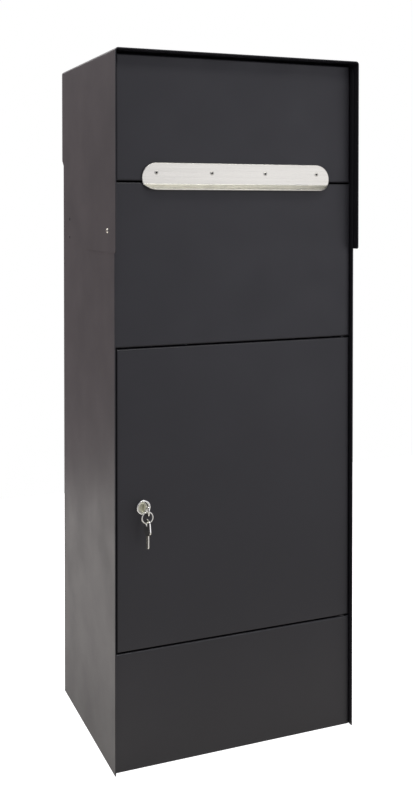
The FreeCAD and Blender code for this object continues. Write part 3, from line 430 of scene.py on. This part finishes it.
def rounded_loop(corners, steps=7):
    """Anticlockwise outline through (u, v, radius) corners, each one rounded by its radius."""
    points = []
    for index, (u, v, radius) in enumerate(corners):
        if radius == 0.0:
            points.append((u, v))
            continue
        here = Vector((u, v))
        before = (Vector(corners[index - 1][:2]) - here).normalized()
        after = (Vector(corners[(index + 1) % len(corners)][:2]) - here).normalized()
        half_angle = before.angle(after) / 2
        centre = here + (before + after).normalized() * radius / math.sin(half_angle)
        arm = here + before * radius / math.tan(half_angle) - centre
        start = math.degrees(math.atan2(arm.y, arm.x))
        turn = 180.0 - math.degrees(2 * half_angle)
        if before.cross(after) > 0.0:
            turn = -turn
        points += round_corner(centre.x, centre.y, radius, start, start + turn, steps)
    return points


def inset_loop(points, distance):
    """The loop moved to its left by a distance, corner by corner."""
    moved = []
    count = len(points)
    for index, (u, v) in enumerate(points):
        u0, v0 = points[index - 1]
        u1, v1 = points[(index + 1) % count]
        before = Vector((u - u0, v - v0)).normalized()
        after = Vector((u1 - u, v1 - v)).normalized()
        normal_before = Vector((-before.y, before.x))
        normal_after = Vector((-after.y, after.x))
        middle = (normal_before + normal_after).normalized()
        reach = distance / max(middle.dot(normal_after), 0.5)
        moved.append((u + middle.x * reach, v + middle.y * reach))
    return moved


def soft_plate(shape, loops, thickness, rounding, place, steps=3):
    """Flat plate with rounded edges. Loops are anticlockwise outside and clockwise for holes."""
    caps = {1: [], -1: []}
    for loop in loops:
        rows = []
        for side in (-1, 1):
            stages = range(steps + 1) if side > 0 else range(steps, -1, -1)
            for stage in stages:
                angle = math.pi / 2 * stage / steps
                inset = rounding * (1.0 - math.cos(angle))
                level = side * (thickness / 2 - rounding + rounding * math.sin(angle))
                row = [shape.verts.new(place(u, v, level)) for u, v in inset_loop(loop, inset)]
                rows.append(row)
        grid_faces(shape, rows, closed_columns=True)
        caps[-1].append(rows[0])
        caps[1].append(rows[-1])
    for rows in caps.values():
        edges = []
        for row in rows:
            for index, vertex in enumerate(row):
                edges.append(shape.edges.get((vertex, row[(index + 1) % len(row)])))
        bmesh.ops.triangle_fill(shape, use_beauty=True, edges=edges)


# ---- pull handle ----------------------------------------------------------------------------
HANDLE_END_STEPS = 60          # faces round an end of the plate, from its top to its bottom
HANDLE_HALF_STEPS = 24         # faces from the plate's middle to one end
HANDLE_EDGE_STEPS = 4          # faces over half the thickness of an edge


def handle_bend(across, level, top_z, back_y):
    """Y and Z of a point of the bent plate, by its distance from the top edge and its level."""
    middle_radius = HANDLE_BEND_RADIUS + HANDLE_PLATE / 2
    straight = HANDLE_FOLD_BELOW_TOP - HANDLE_BEND_RADIUS * math.tan(HANDLE_LIP_ANGLE / 2)
    arc = middle_radius * HANDLE_LIP_ANGLE
    middle_y = back_y - HANDLE_PLATE / 2
    angle = min(max(across - straight, 0.0), arc) / middle_radius
    normal_y = -math.cos(angle)
    normal_z = math.sin(angle)
    if across <= straight:
        y = middle_y
        z = top_z - across
    else:
        y = middle_y - middle_radius + middle_radius * math.cos(angle)
        z = top_z - straight - middle_radius * math.sin(angle)
        beyond = max(across - straight - arc, 0.0)
        y -= beyond * math.sin(angle)
        z -= beyond * math.cos(angle)
    return y + normal_y * level, z + normal_z * level


def build_handle(material):
    """Stainless plate with round ends, a bent-out lip and softened edges."""
    low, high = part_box("pull_handle")
    centre_x = (low.x + high.x) / 2
    half = (high.x - low.x) / 2
    back_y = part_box("handle_backing")[0].y
    rounding = HANDLE_ROUNDING
    shape = bmesh.new()
    turns = [math.pi * index / HANDLE_END_STEPS for index in range(HANDLE_END_STEPS + 1)]
    across_length = [math.sin(math.pi / 2 * (index / HANDLE_HALF_STEPS - 1.0))
                     for index in range(2 * HANDLE_HALF_STEPS + 1)]

    def point(turn, share, inset, level):
        radius = HANDLE_RADIUS - inset
        across = HANDLE_RADIUS - radius * math.cos(turn)
        reach = half - HANDLE_RADIUS + radius * math.sin(turn)
        y, z = handle_bend(across, level, high.z, back_y)
        return centre_x + reach * share, y, z

    steps = HANDLE_EDGE_STEPS
    rims = []
    for side in (-1, 1):
        face = [[shape.verts.new(point(turn, share, rounding, side * HANDLE_PLATE / 2))
                 for share in across_length] for turn in turns]
        grid_faces(shape, face)
        edge = face[0] + [row[-1] for row in face[1:-1]] + face[-1][::-1]
        rims.append(edge + [row[0] for row in face[-2:0:-1]])
    places = [(turns[0], share) for share in across_length]
    places += [(turn, 1.0) for turn in turns[1:-1]]
    places += [(turns[-1], share) for share in across_length[::-1]]
    places += [(turn, -1.0) for turn in turns[-2:0:-1]]
    rows = [rims[0]]
    for side in (-1, 1):
        stages = range(1, steps + 1) if side < 0 else range(steps, 0, -1)
        for stage in stages:
            angle = math.pi / 2 * stage / steps
            inset = rounding * (1.0 - math.sin(angle))
            level = side * (HANDLE_PLATE / 2 - rounding + rounding * math.cos(angle))
            rows.append([shape.verts.new(point(turn, share, inset, level)) for turn, share in places])
    rows.append(rims[1])
    grid_faces(shape, rows, closed_columns=True)
    add_piece("handle_plate", shape, material, "lid", "stainless", "pull_handle")


RIVET_HOLLOW_RADIUS = 1.50 * MM
RIVET_HOLLOW_DEPTH = 1.90 * MM
MANDREL_RADIUS = 1.42 * MM
MANDREL_LENGTH = 1.80 * MM      # behind the plate's face
RIVET_SEGMENTS = 40


def build_handle_rivets(material, mandrel_shade_material):
    """Blind rivets: a domed flange, a set tail and the broken-off mandrel in the hollow middle."""
    flap_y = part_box("lid_flap")[0].y
    handle_low, handle_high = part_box("pull_handle")
    first_x = (handle_low.x + handle_high.x) / 2 - RIVET_PITCH * (RIVET_COUNT - 1) / 2
    face = HANDLE_BACKING + HANDLE_PLATE
    back = -SHEET
    hollow_end = face - RIVET_HOLLOW_DEPTH
    mandrel_end = face - MANDREL_LENGTH
    profile = [(0.0, hollow_end), (RIVET_HOLLOW_RADIUS, hollow_end), (RIVET_HOLLOW_RADIUS, face + 0.60 * MM),
               (1.62 * MM, face + 0.82 * MM), (1.85 * MM, face + 0.90 * MM), (2.25 * MM, face + 0.80 * MM),
               (2.75 * MM, face + 0.52 * MM), (3.00 * MM, face + 0.25 * MM), (3.00 * MM, face + 0.06 * MM),
               (2.90 * MM, face), (SHANK_RADIUS, face), (SHANK_RADIUS, back), (3.1 * MM, back),
               (3.3 * MM, back - 0.35 * MM), (3.0 * MM, back - 0.95 * MM), (2.2 * MM, back - 1.35 * MM),
               (1.3 * MM, back - 1.40 * MM), (1.2 * MM, back - 1.2 * MM), (0.0, back - 1.2 * MM)]
    mandrel = [(0.0, face + 0.45 * MM), (0.65 * MM, face + 0.41 * MM), (1.15 * MM, face + 0.30 * MM),
               (MANDREL_RADIUS, face + 0.12 * MM), (MANDREL_RADIUS, mandrel_end), (0.0, mandrel_end)]
    shapes = (bmesh.new(), bmesh.new())
    for index in range(RIVET_COUNT):
        x = first_x + index * RIVET_PITCH

        def place(radius, along, angle, x=x):
            return x + radius * math.cos(angle), flap_y - along, RIVET_HEIGHT + radius * math.sin(angle)

        for shape, outline in zip(shapes, (profile, mandrel)):
            turned(shape, outline, place, segments=RIVET_SEGMENTS)
    add_piece("blind_rivets", shapes[0], material, "lid", "stainless", "handle_rivets")
    # The mandrels' near-black colour is painted shade in the rivets' hollows.
    add_piece("rivet_mandrels", shapes[1], mandrel_shade_material, "lid", "zinc_steel")


# ---- glide screws ---------------------------------------------------------------------------
SCREW_SEGMENTS = 48


def hexagon_radius(across_flats, angle):
    """Distance from the centre to a hexagon's side at an angle."""
    sixth = math.pi / 3
    from_flat = (angle % sixth) - sixth / 2
    return across_flats / 2 / math.cos(from_flat)


def build_glide_screws(material):
    """Button-head screws with a hexagon socket, one on each side of the hood."""
    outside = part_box("hood_shell")[1].x
    profile = [(0.0, 0.35 * MM, True), (0.9 * MM, 0.70 * MM, True), (1.0, 0.85 * MM, False),
               (1.0, 1.75 * MM, False), (1.08, 1.86 * MM, False), (2.00 * MM, 1.70 * MM, True),
               (2.70 * MM, 1.36 * MM, True), (3.25 * MM, 0.86 * MM, True), (3.55 * MM, 0.40 * MM, True),
               (3.60 * MM, 0.15 * MM, True), (3.50 * MM, 0.0, True), (SHANK_RADIUS, 0.0, True),
               (SHANK_RADIUS, -SHEET - 0.4 * MM, True), (0.0, -SHEET - 0.4 * MM, True)]
    shape = bmesh.new()
    for side in (-1, 1):
        rows = []
        for size, along, is_round in profile:
            if size == 0.0:
                rows.append([shape.verts.new((side * (outside + along), GLIDE_Y, GLIDE_Z))])
                continue
            row = []
            for index in range(SCREW_SEGMENTS):
                angle = 2 * math.pi * index / SCREW_SEGMENTS
                radius = size if is_round else size * hexagon_radius(GLIDE_SOCKET_FLATS, angle)
                row.append(shape.verts.new((side * (outside + along),
                                            GLIDE_Y + radius * math.cos(angle),
                                            GLIDE_Z + radius * math.sin(angle))))
            rows.append(row)
        grid_faces(shape, rows, closed_columns=True)
    add_piece("glide_screw_heads", shape, material, "lid", "stainless", "glide_screws")


# ---- lock -----------------------------------------------------------------------------------
SLOT_WIDTH = 3.6 * MM          # shallow slot that guides the key into the keyway
SLOT_HEIGHT = 9.8 * MM
SLOT_DEPTH = 0.9 * MM
LOCK_CENTRE = (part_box("lock_body")[0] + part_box("lock_body")[1]) / 2
LOCK_X = LOCK_CENTRE.x
LOCK_Z = LOCK_CENTRE.z
DOOR_FACE_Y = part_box("door_panel")[0].y


def lock_place(radius, along, angle):
    """Point round the lock's axis, along measured forward from the door's face."""
    return LOCK_X + radius * math.cos(angle), DOOR_FACE_Y - along, LOCK_Z + radius * math.sin(angle)


def build_lock_body(material):
    """Housing: rounded rim, dished inside, with a threaded barrel behind the door."""
    end = DOOR_FACE_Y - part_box("lock_body")[1].y
    rim = LOCK_RIM_HEIGHT
    bore = PLUG_HEAD_RADIUS + PLUG_HEAD_CLEARANCE
    profile = [(LOCK_BARREL_RADIUS, 0.0), (LOCK_RIM_RADIUS - 0.25 * MM, 0.0),
               (LOCK_RIM_RADIUS, 0.25 * MM), (LOCK_RIM_RADIUS, rim - LOCK_RIM_ROUNDING)]
    profile += [(LOCK_RIM_RADIUS - LOCK_RIM_ROUNDING + u, rim - LOCK_RIM_ROUNDING + v)
                for u, v in round_corner(0.0, 0.0, LOCK_RIM_ROUNDING, 15, 90, 6)]
    profile += [(LOCK_RIM_RADIUS - 2.2 * MM, rim - 0.03 * MM), (8.45 * MM, rim - 0.25 * MM),
                (8.20 * MM, rim - 0.75 * MM), (7.95 * MM, rim - 1.05 * MM),
                (bore + 0.2 * MM, rim - 1.10 * MM),
                (bore, rim - 1.25 * MM), (bore, PLUG_FACE_HEIGHT - PLUG_HEAD_DEPTH),
                (PLUG_RADIUS + PLUG_CLEARANCE, PLUG_FACE_HEIGHT - PLUG_HEAD_DEPTH),
                (PLUG_RADIUS + PLUG_CLEARANCE, end)]
    root = LOCK_BARREL_RADIUS - BARREL_THREAD_DEPTH
    profile += [(LOCK_BARREL_RADIUS - 0.9 * MM, end), (root, end + 0.4 * MM)]
    turns = int((-end - SHEET - 1.2 * MM) / BARREL_THREAD_PITCH)
    for index in range(turns):
        along = end + 0.5 * MM + index * BARREL_THREAD_PITCH
        profile += [(root, along + 0.08 * MM),
                    (LOCK_BARREL_RADIUS, along + 0.42 * MM),
                    (LOCK_BARREL_RADIUS, along + 0.58 * MM),
                    (root, along + 0.92 * MM)]
    profile.append((LOCK_BARREL_RADIUS, end + 0.6 * MM + turns * BARREL_THREAD_PITCH))
    shape = bmesh.new()
    turned(shape, profile, lock_place, closed=True)
    add_piece("lock_housing", shape, material, "door", "lock_chrome", "lock_body")


def cut_away(piece, cutter_shape):
    """Cut a closed bmesh out of a piece and apply it."""
    mesh = bpy.data.meshes.new("cutter")
    cutter_shape.to_mesh(mesh)
    cutter_shape.free()
    cutter = bpy.data.objects.new("cutter", mesh)
    bpy.context.scene.collection.objects.link(cutter)
    boolean = piece.modifiers.new("cut", "BOOLEAN")
    boolean.operation = "DIFFERENCE"
    boolean.solver = "EXACT"
    boolean.object = cutter
    graph = bpy.context.evaluated_depsgraph_get()
    result = bpy.data.meshes.new_from_object(piece.evaluated_get(graph), depsgraph=graph)
    piece.modifiers.clear()
    old = piece.data
    result.name = old.name
    piece.data = result
    bpy.data.meshes.remove(old)
    bpy.data.objects.remove(cutter)
    result.shade_smooth()
    result.set_sharp_from_angle(angle=SHARP_ANGLE)


def block(shape, low, high):
    """Closed box between two corners."""
    made = bmesh.ops.create_cube(shape, size=1.0)
    low = Vector(low)
    high = Vector(high)
    size = high - low
    matrix = Matrix.Translation((low + high) / 2) @ Matrix.Diagonal((*size, 1.0))
    bmesh.ops.transform(shape, matrix=matrix, verts=made["verts"])


def build_lock_plug(material):
    """Plug with a rounded face, a keyway with a ward step, a square tail and a stud."""
    end = DOOR_FACE_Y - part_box("lock_plug")[1].y
    cam_front = DOOR_FACE_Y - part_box("lock_cam")[0].y
    cam_back = DOOR_FACE_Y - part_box("lock_cam")[1].y
    front = PLUG_FACE_HEIGHT
    head_end = front - PLUG_HEAD_DEPTH
    profile = [(0.0, front), (3.0 * MM, front), (PLUG_HEAD_RADIUS - 0.9 * MM, front),
               (PLUG_HEAD_RADIUS - 0.45 * MM, front - 0.05 * MM),
               (PLUG_HEAD_RADIUS - 0.15 * MM, front - 0.20 * MM),
               (PLUG_HEAD_RADIUS, front - 0.5 * MM), (PLUG_HEAD_RADIUS, head_end), (PLUG_RADIUS, head_end),
               (PLUG_RADIUS, cam_front + 0.3 * MM), (PLUG_RADIUS - 0.3 * MM, cam_front), (0.0, cam_front)]
    shape = bmesh.new()
    turned(shape, profile, lock_place, segments=80)
    half = CAM_SQUARE / 2
    block(shape, (LOCK_X - half, DOOR_FACE_Y - cam_front - 0.5 * MM, LOCK_Z - half),
          (LOCK_X + half, DOOR_FACE_Y - cam_back, LOCK_Z + half))
    tail = [(0.0, cam_back + 0.5 * MM), (STUD_RADIUS, cam_back + 0.5 * MM)]
    along = cam_back
    while along > end + 0.6 * MM:
        tail += [(STUD_RADIUS, along),
                 (STUD_RADIUS - STUD_THREAD_DEPTH, along - STUD_THREAD_PITCH / 2),
                 (STUD_RADIUS, along - STUD_THREAD_PITCH)]
        along -= STUD_THREAD_PITCH
    tail += [(STUD_RADIUS - 0.4 * MM, end), (0.0, end)]
    turned(shape, tail, lock_place, segments=32)
    piece = add_piece("lock_cylinder", shape, material, "lock_core", "lock_nickel", "lock_plug")
    for width, height, depth in ((KEYWAY_WIDTH, KEYWAY_HEIGHT, front - cam_front - 1.0 * MM),
                                 (SLOT_WIDTH, SLOT_HEIGHT, SLOT_DEPTH)):
        slot = bmesh.new()
        block(slot, (LOCK_X - width / 2, DOOR_FACE_Y - front - 1.0 * MM, LOCK_Z - height / 2),
              (LOCK_X + width / 2, DOOR_FACE_Y - front + depth, LOCK_Z + height / 2))
        cut_away(piece, slot)


# ---- keys -----------------------------------------------------------------------------------
KEY_NECK_RADIUS = 0.9 * MM     # where the blade meets the bow
KEY_CUT_DEPTHS = (1.6 * MM, 0.7 * MM, 2.1 * MM, 1.2 * MM, 0.5 * MM)
KEY_CUT_PITCH = 3.0 * MM
KEY_CUT_FLAT = 0.9 * MM        # flat at the bottom of a cut
KEY_FIRST_CUT = 2.6 * MM       # from the tip
KEY_CUT_PEAK = 1.9 * MM        # from a cut's start to the peak after it
KEY_PEAK_DEPTH = 0.15 * MM     # of the peaks, below the blade's edge
KEY_GROOVE_DEPTH = 0.55 * MM
KEY_HOLE_POINTS = 40


def key_outline():
    """Key outline with its blade down, the hole's centre at the origin, anticlockwise."""
    top = KEY_HOLE_FROM_END
    bottom = top - KEY_BOW_LENGTH
    half_end = KEY_BOW_END_WIDTH / 2
    half = KEY_BOW_WIDTH / 2
    shoulder = bottom + KEY_SHOULDER
    blade = KEY_BLADE_WIDTH / 2
    neck = KEY_NECK_RADIUS
    tip = bottom - KEY_BLADE_LENGTH
    corners = [(half_end, top, KEY_BOW_END_CORNER), (-half_end, top, KEY_BOW_END_CORNER),
               (-half, shoulder, KEY_SHOULDER_CORNER), (-blade, bottom, neck), (-blade, tip + 3.0 * MM, 0.0),
               (-blade + 0.7 * MM, tip + 1.2 * MM, 0.0), (-blade + 2.4 * MM, tip, 0.0),
               (blade - 3.0 * MM, tip, 0.0), (blade - 1.2 * MM, tip + 1.6 * MM, 0.0)]
    start = tip + KEY_FIRST_CUT
    for index, depth in enumerate(KEY_CUT_DEPTHS):
        along = start + index * KEY_CUT_PITCH
        corners.append((blade - depth, along, 0.0))
        corners.append((blade - depth, along + KEY_CUT_FLAT, 0.0))
        corners.append((blade - KEY_PEAK_DEPTH, along + KEY_CUT_PEAK, 0.0))
    corners += [(blade, bottom, neck), (half, shoulder, KEY_SHOULDER_CORNER)]
    return rounded_loop(corners)


def key_shape():
    """One key in its own frame: X across, Z along with the blade down, Y through its thickness."""
    shape = bmesh.new()
    hole = []
    for index in range(KEY_HOLE_POINTS):
        angle = 2 * math.pi * index / KEY_HOLE_POINTS
        hole.append((KEY_HOLE_RADIUS * math.cos(angle), -KEY_HOLE_RADIUS * math.sin(angle)))
    soft_plate(shape, [key_outline(), hole], KEY_THICKNESS, KEY_ROUNDING, lambda u, v, level: (u, level, v))
    return shape


def key_grooves():
    """Cutters for the two long grooves milled along the blade."""
    bottom = KEY_HOLE_FROM_END - KEY_BOW_LENGTH
    tip = bottom - KEY_BLADE_LENGTH
    shape = bmesh.new()
    start = tip - 1.0 * MM
    end = bottom - 0.5 * MM
    floor = KEY_THICKNESS / 2 - KEY_GROOVE_DEPTH
    block(shape, (-2.4 * MM, -KEY_THICKNESS, start), (-1.1 * MM, -floor, end))
    block(shape, (-0.1 * MM, floor, start), (1.0 * MM, KEY_THICKNESS, end))
    return shape


def build_key(name, material, body, node, matrix):
    """A flat key, cut and grooved, put in place by a matrix."""
    piece = add_piece(name, key_shape(), material, body, "key_nickel", node)
    cut_away(piece, key_grooves())
    piece.data.transform(matrix)


def build_keys(material):
    """The key in the lock, its bow upright, and the spare key that hangs from the ring."""
    hole_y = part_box("door_key")[0].y + KEY_HOLE_FROM_END
    in_lock = Matrix.Translation((LOCK_X, hole_y, LOCK_Z))
    in_lock = in_lock @ Matrix.Rotation(math.radians(90), 4, "X") @ Matrix.Rotation(math.radians(90), 4, "Z")
    build_key("key_in_lock", material, "key", "door_key", in_lock)
    spare_hole_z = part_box("spare_key")[1].z - KEY_HOLE_FROM_END
    hanging = Matrix.Translation((LOCK_X, hole_y, spare_hole_z))
    hanging = hanging @ Matrix.Rotation(math.radians(90 + SPARE_KEY_TURN), 4, "Z")
    build_key("hanging_spare_key", material, "hanging_key", "spare_key", hanging)


RING_TURNS = 1.93
RING_START = math.radians(245)
RING_CROSSING = 0.93           # turn at which the wire starts to cross over
RING_CROSSING_LENGTH = 0.10    # in turns
RING_STEPS = 190
RING_SIDES = 12


def build_key_ring(material):
    """Split ring: two flat turns side by side, with a step where they cross over."""
    low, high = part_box("key_ring")
    centre = (low + high) / 2
    rows = []
    shape = bmesh.new()
    for index in range(RING_STEPS + 1):
        share = index / RING_STEPS
        angle = 2 * math.pi * RING_TURNS * share + RING_START
        step = min(max((share * RING_TURNS - RING_CROSSING) / RING_CROSSING_LENGTH, 0.0), 1.0)
        offset = (2 * (3 * step ** 2 - 2 * step ** 3) - 1) * (RING_HALF_TURN + 0.01 * MM)
        row = []
        for corner in range(RING_SIDES):
            around = 2 * math.pi * (corner + 0.5) / RING_SIDES
            across = math.copysign(abs(math.cos(around)) ** 0.5, math.cos(around)) * RING_HALF_WIDTH
            through = math.copysign(abs(math.sin(around)) ** 0.5, math.sin(around)) * RING_HALF_TURN
            radius = RING_RADIUS + across
            row.append(shape.verts.new((centre.x + radius * math.cos(angle),
                                        centre.y + offset + through,
                                        centre.z + radius * math.sin(angle))))
        rows.append(row)
    grid_faces(shape, rows, closed_columns=True)
    shape.faces.new(rows[0][::-1])
    shape.faces.new(rows[-1])
    add_piece("split_ring", shape, material, "ring", "key_nickel", "key_ring")


# ---- studio ---------------------------------------------------------------------------------
FLOOR_LEFT_FRONT = (-1.7, -1.9)
FLOOR_RIGHT_BACK = (1.7, 1.35)
WHITE = (1.0, 1.0, 1.0, 1.0)
FLOOR_DARK = (0.50, 0.50, 0.50)
FLOOR_LIGHT = (0.52, 0.52, 0.52)
FLOOR_FADE_START = -0.25       # Y from which the floor's painted light fades into painted shade towards the front
FLOOR_FADE_END = -0.70
FLOOR_NEAR_X = -0.20           # X from which the floor's painted light rises from the painted shadow by the box to the painted pool of light on the left
FLOOR_FAR_X = -0.55
# Colours of the floor's glow, all painted light: a painted shadow next to the box, a painted pool of light
# behind it, painted shade in front.
PAINTED_SHADOW_NEAR_BOX = (0.47, 0.44, 0.40)
PAINTED_LIGHT_POOL_BEHIND = (0.86, 0.80, 0.74)
PAINTED_SHADE_IN_FRONT = (0.12, 0.12, 0.12)
ROOM_FRONT = (0.300, 0.300, 0.350)
ROOM_BACK = (0.490, 0.420, 0.430)
ROOM_FRONT_END = -0.4          # Y of the directions between which the room's colour turns
ROOM_BACK_END = 0.5
BOX_MIDDLE = (0.0, 0.0, 0.55)  # the soft lights' target


def ramp(tree, value, start, end, first, last):
    """Colour that goes from first to last, each a colour or a socket, as a value goes from start to end."""
    spread = tree.nodes.new("ShaderNodeMapRange")
    spread.interpolation_type = "SMOOTHSTEP"
    spread.inputs["From Min"].default_value = start
    spread.inputs["From Max"].default_value = end
    tree.links.new(value, spread.inputs["Value"])
    mix = tree.nodes.new("ShaderNodeMix")
    mix.data_type = "RGBA"
    for name, colour in (("A", first), ("B", last)):
        if isinstance(colour, tuple):
            mix.inputs[name].default_value = (*colour, 1.0)
        else:
            tree.links.new(colour, mix.inputs[name])
    tree.links.new(spread.outputs["Result"], mix.inputs["Factor"])
    return mix.outputs["Result"]


def part_of(tree, vector, axis):
    """The X, Y or Z part of a vector."""
    split = tree.nodes.new("ShaderNodeSeparateXYZ")
    tree.links.new(vector, split.inputs["Vector"])
    return split.outputs[axis]


def make_floor():
    """White floor glowing with painted light: a painted pool of light behind the box on its left, a painted
    shadow next to the box, painted shade in front; plain white to the camera.
    """
    x0, y0 = FLOOR_LEFT_FRONT
    x1, y1 = FLOOR_RIGHT_BACK
    mesh = bpy.data.meshes.new("floor")
    mesh.from_pydata([(x0, y0, 0.0), (x1, y0, 0.0), (x1, y1, 0.0), (x0, y1, 0.0)], [], [(0, 1, 2, 3)])
    floor = bpy.data.objects.new("floor", mesh)
    bpy.context.scene.collection.objects.link(floor)
    shader = Shader("floor_white", Roughness=0.9, Emission_Strength=1.0)
    shader.colour(shader.noise(3.0), FLOOR_DARK, FLOOR_LIGHT)
    tree = shader.tree
    # Painted light on the floor: a painted shadow by the box rising to a painted pool of light behind it on
    # the left.
    behind = ramp(tree, part_of(tree, shader.place, "X"), FLOOR_NEAR_X, FLOOR_FAR_X,
                  PAINTED_SHADOW_NEAR_BOX, PAINTED_LIGHT_POOL_BEHIND)
    # Painted shade on the floor towards the front of the box.
    glow = ramp(tree, part_of(tree, shader.place, "Y"), FLOOR_FADE_START, FLOOR_FADE_END,
                behind, PAINTED_SHADE_IN_FRONT)
    lit = tree.nodes.new("ShaderNodeMix")
    lit.data_type = "RGBA"
    lit.inputs["B"].default_value = WHITE
    tree.links.new(glow, lit.inputs["A"])
    path = tree.nodes.new("ShaderNodeLightPath")
    tree.links.new(path.outputs["Is Camera Ray"], lit.inputs["Factor"])
    tree.links.new(lit.outputs["Result"], shader.principled.inputs["Emission Color"])
    mesh.materials.append(shader.material)


def softbox(name, place, target, width, height, radiance, colour=(1.0, 1.0, 1.0)):
    """Area light of a given brightness, aimed at a point and unseen by the camera."""
    data = bpy.data.lights.new(name, "AREA")
    data.shape = "RECTANGLE"
    data.size = width
    data.size_y = height
    data.energy = radiance * width * height * math.pi
    data.color = colour
    light = bpy.data.objects.new(name, data)
    light.location = place
    aim = Vector(target) - Vector(place)
    light.rotation_euler = aim.to_track_quat("-Z", "Y").to_euler()
    light.visible_camera = False
    bpy.context.scene.collection.objects.link(light)


def make_world():
    """White backdrop to the camera, and a dim room, cooler in front, to everything else."""
    world = bpy.data.worlds.new("studio")
    world.use_nodes = True
    tree = world.node_tree
    tree.nodes.clear()
    direction = tree.nodes.new("ShaderNodeTexCoord").outputs["Generated"]
    room = tree.nodes.new("ShaderNodeBackground")
    glow = ramp(tree, part_of(tree, direction, "Y"), ROOM_FRONT_END, ROOM_BACK_END, ROOM_FRONT, ROOM_BACK)
    tree.links.new(glow, room.inputs["Color"])
    white = tree.nodes.new("ShaderNodeBackground")
    white.inputs["Color"].default_value = WHITE
    path = tree.nodes.new("ShaderNodeLightPath")
    mix = tree.nodes.new("ShaderNodeMixShader")
    output = tree.nodes.new("ShaderNodeOutputWorld")
    tree.links.new(path.outputs["Is Camera Ray"], mix.inputs["Fac"])
    tree.links.new(room.outputs["Background"], mix.inputs[1])
    tree.links.new(white.outputs["Background"], mix.inputs[2])
    tree.links.new(mix.outputs["Shader"], output.inputs["Surface"])
    bpy.context.scene.world = world
    bpy.context.scene.view_settings.view_transform = "Standard"


def make_studio():
    """Floor, backdrop and soft lights."""
    make_floor()
    make_world()
    softbox("front_softbox", (2.25, -3.6, 0.9), BOX_MIDDLE, 3.6, 2.6, 0.98, (0.975, 0.965, 1.03))
    softbox("back_softbox", (-0.9, 1.4, 2.4), (-0.4, 0.6, 0.0), 2.0, 2.0, 3.4)
    softbox("top_softbox", (0.6, 0.3, 3.4), BOX_MIDDLE, 3.0, 3.0, 0.55)
    softbox("ceiling_softbox", (0.3, -2.0, 3.3), BOX_MIDDLE, 2.6, 0.8, 6.0)


# ---- everything together --------------------------------------------------------------------
def main():
    """Build the scene."""
    make_camera()
    materials = {
        "painted_steel": powder_coat(),
        "stainless": brushed_stainless(),
        "zinc_steel": zinc_plate(),
        "lock_chrome": polished_chrome(),
        "lock_nickel": satin_nickel((LOCK_X, DOOR_FACE_Y, LOCK_Z)),
        "key_nickel": key_nickel(),
        "rubber": rubber(),
        "nylon": nylon(),
    }
    dress_cad_nodes(materials)
    build_handle(materials["stainless"])
    build_handle_rivets(materials["stainless"], mandrel_painted_shade())
    build_glide_screws(materials["stainless"])
    build_lock_body(materials["lock_chrome"])
    build_lock_plug(materials["lock_nickel"])
    build_keys(materials["key_nickel"])
    build_key_ring(materials["key_nickel"])
    make_studio()


main()
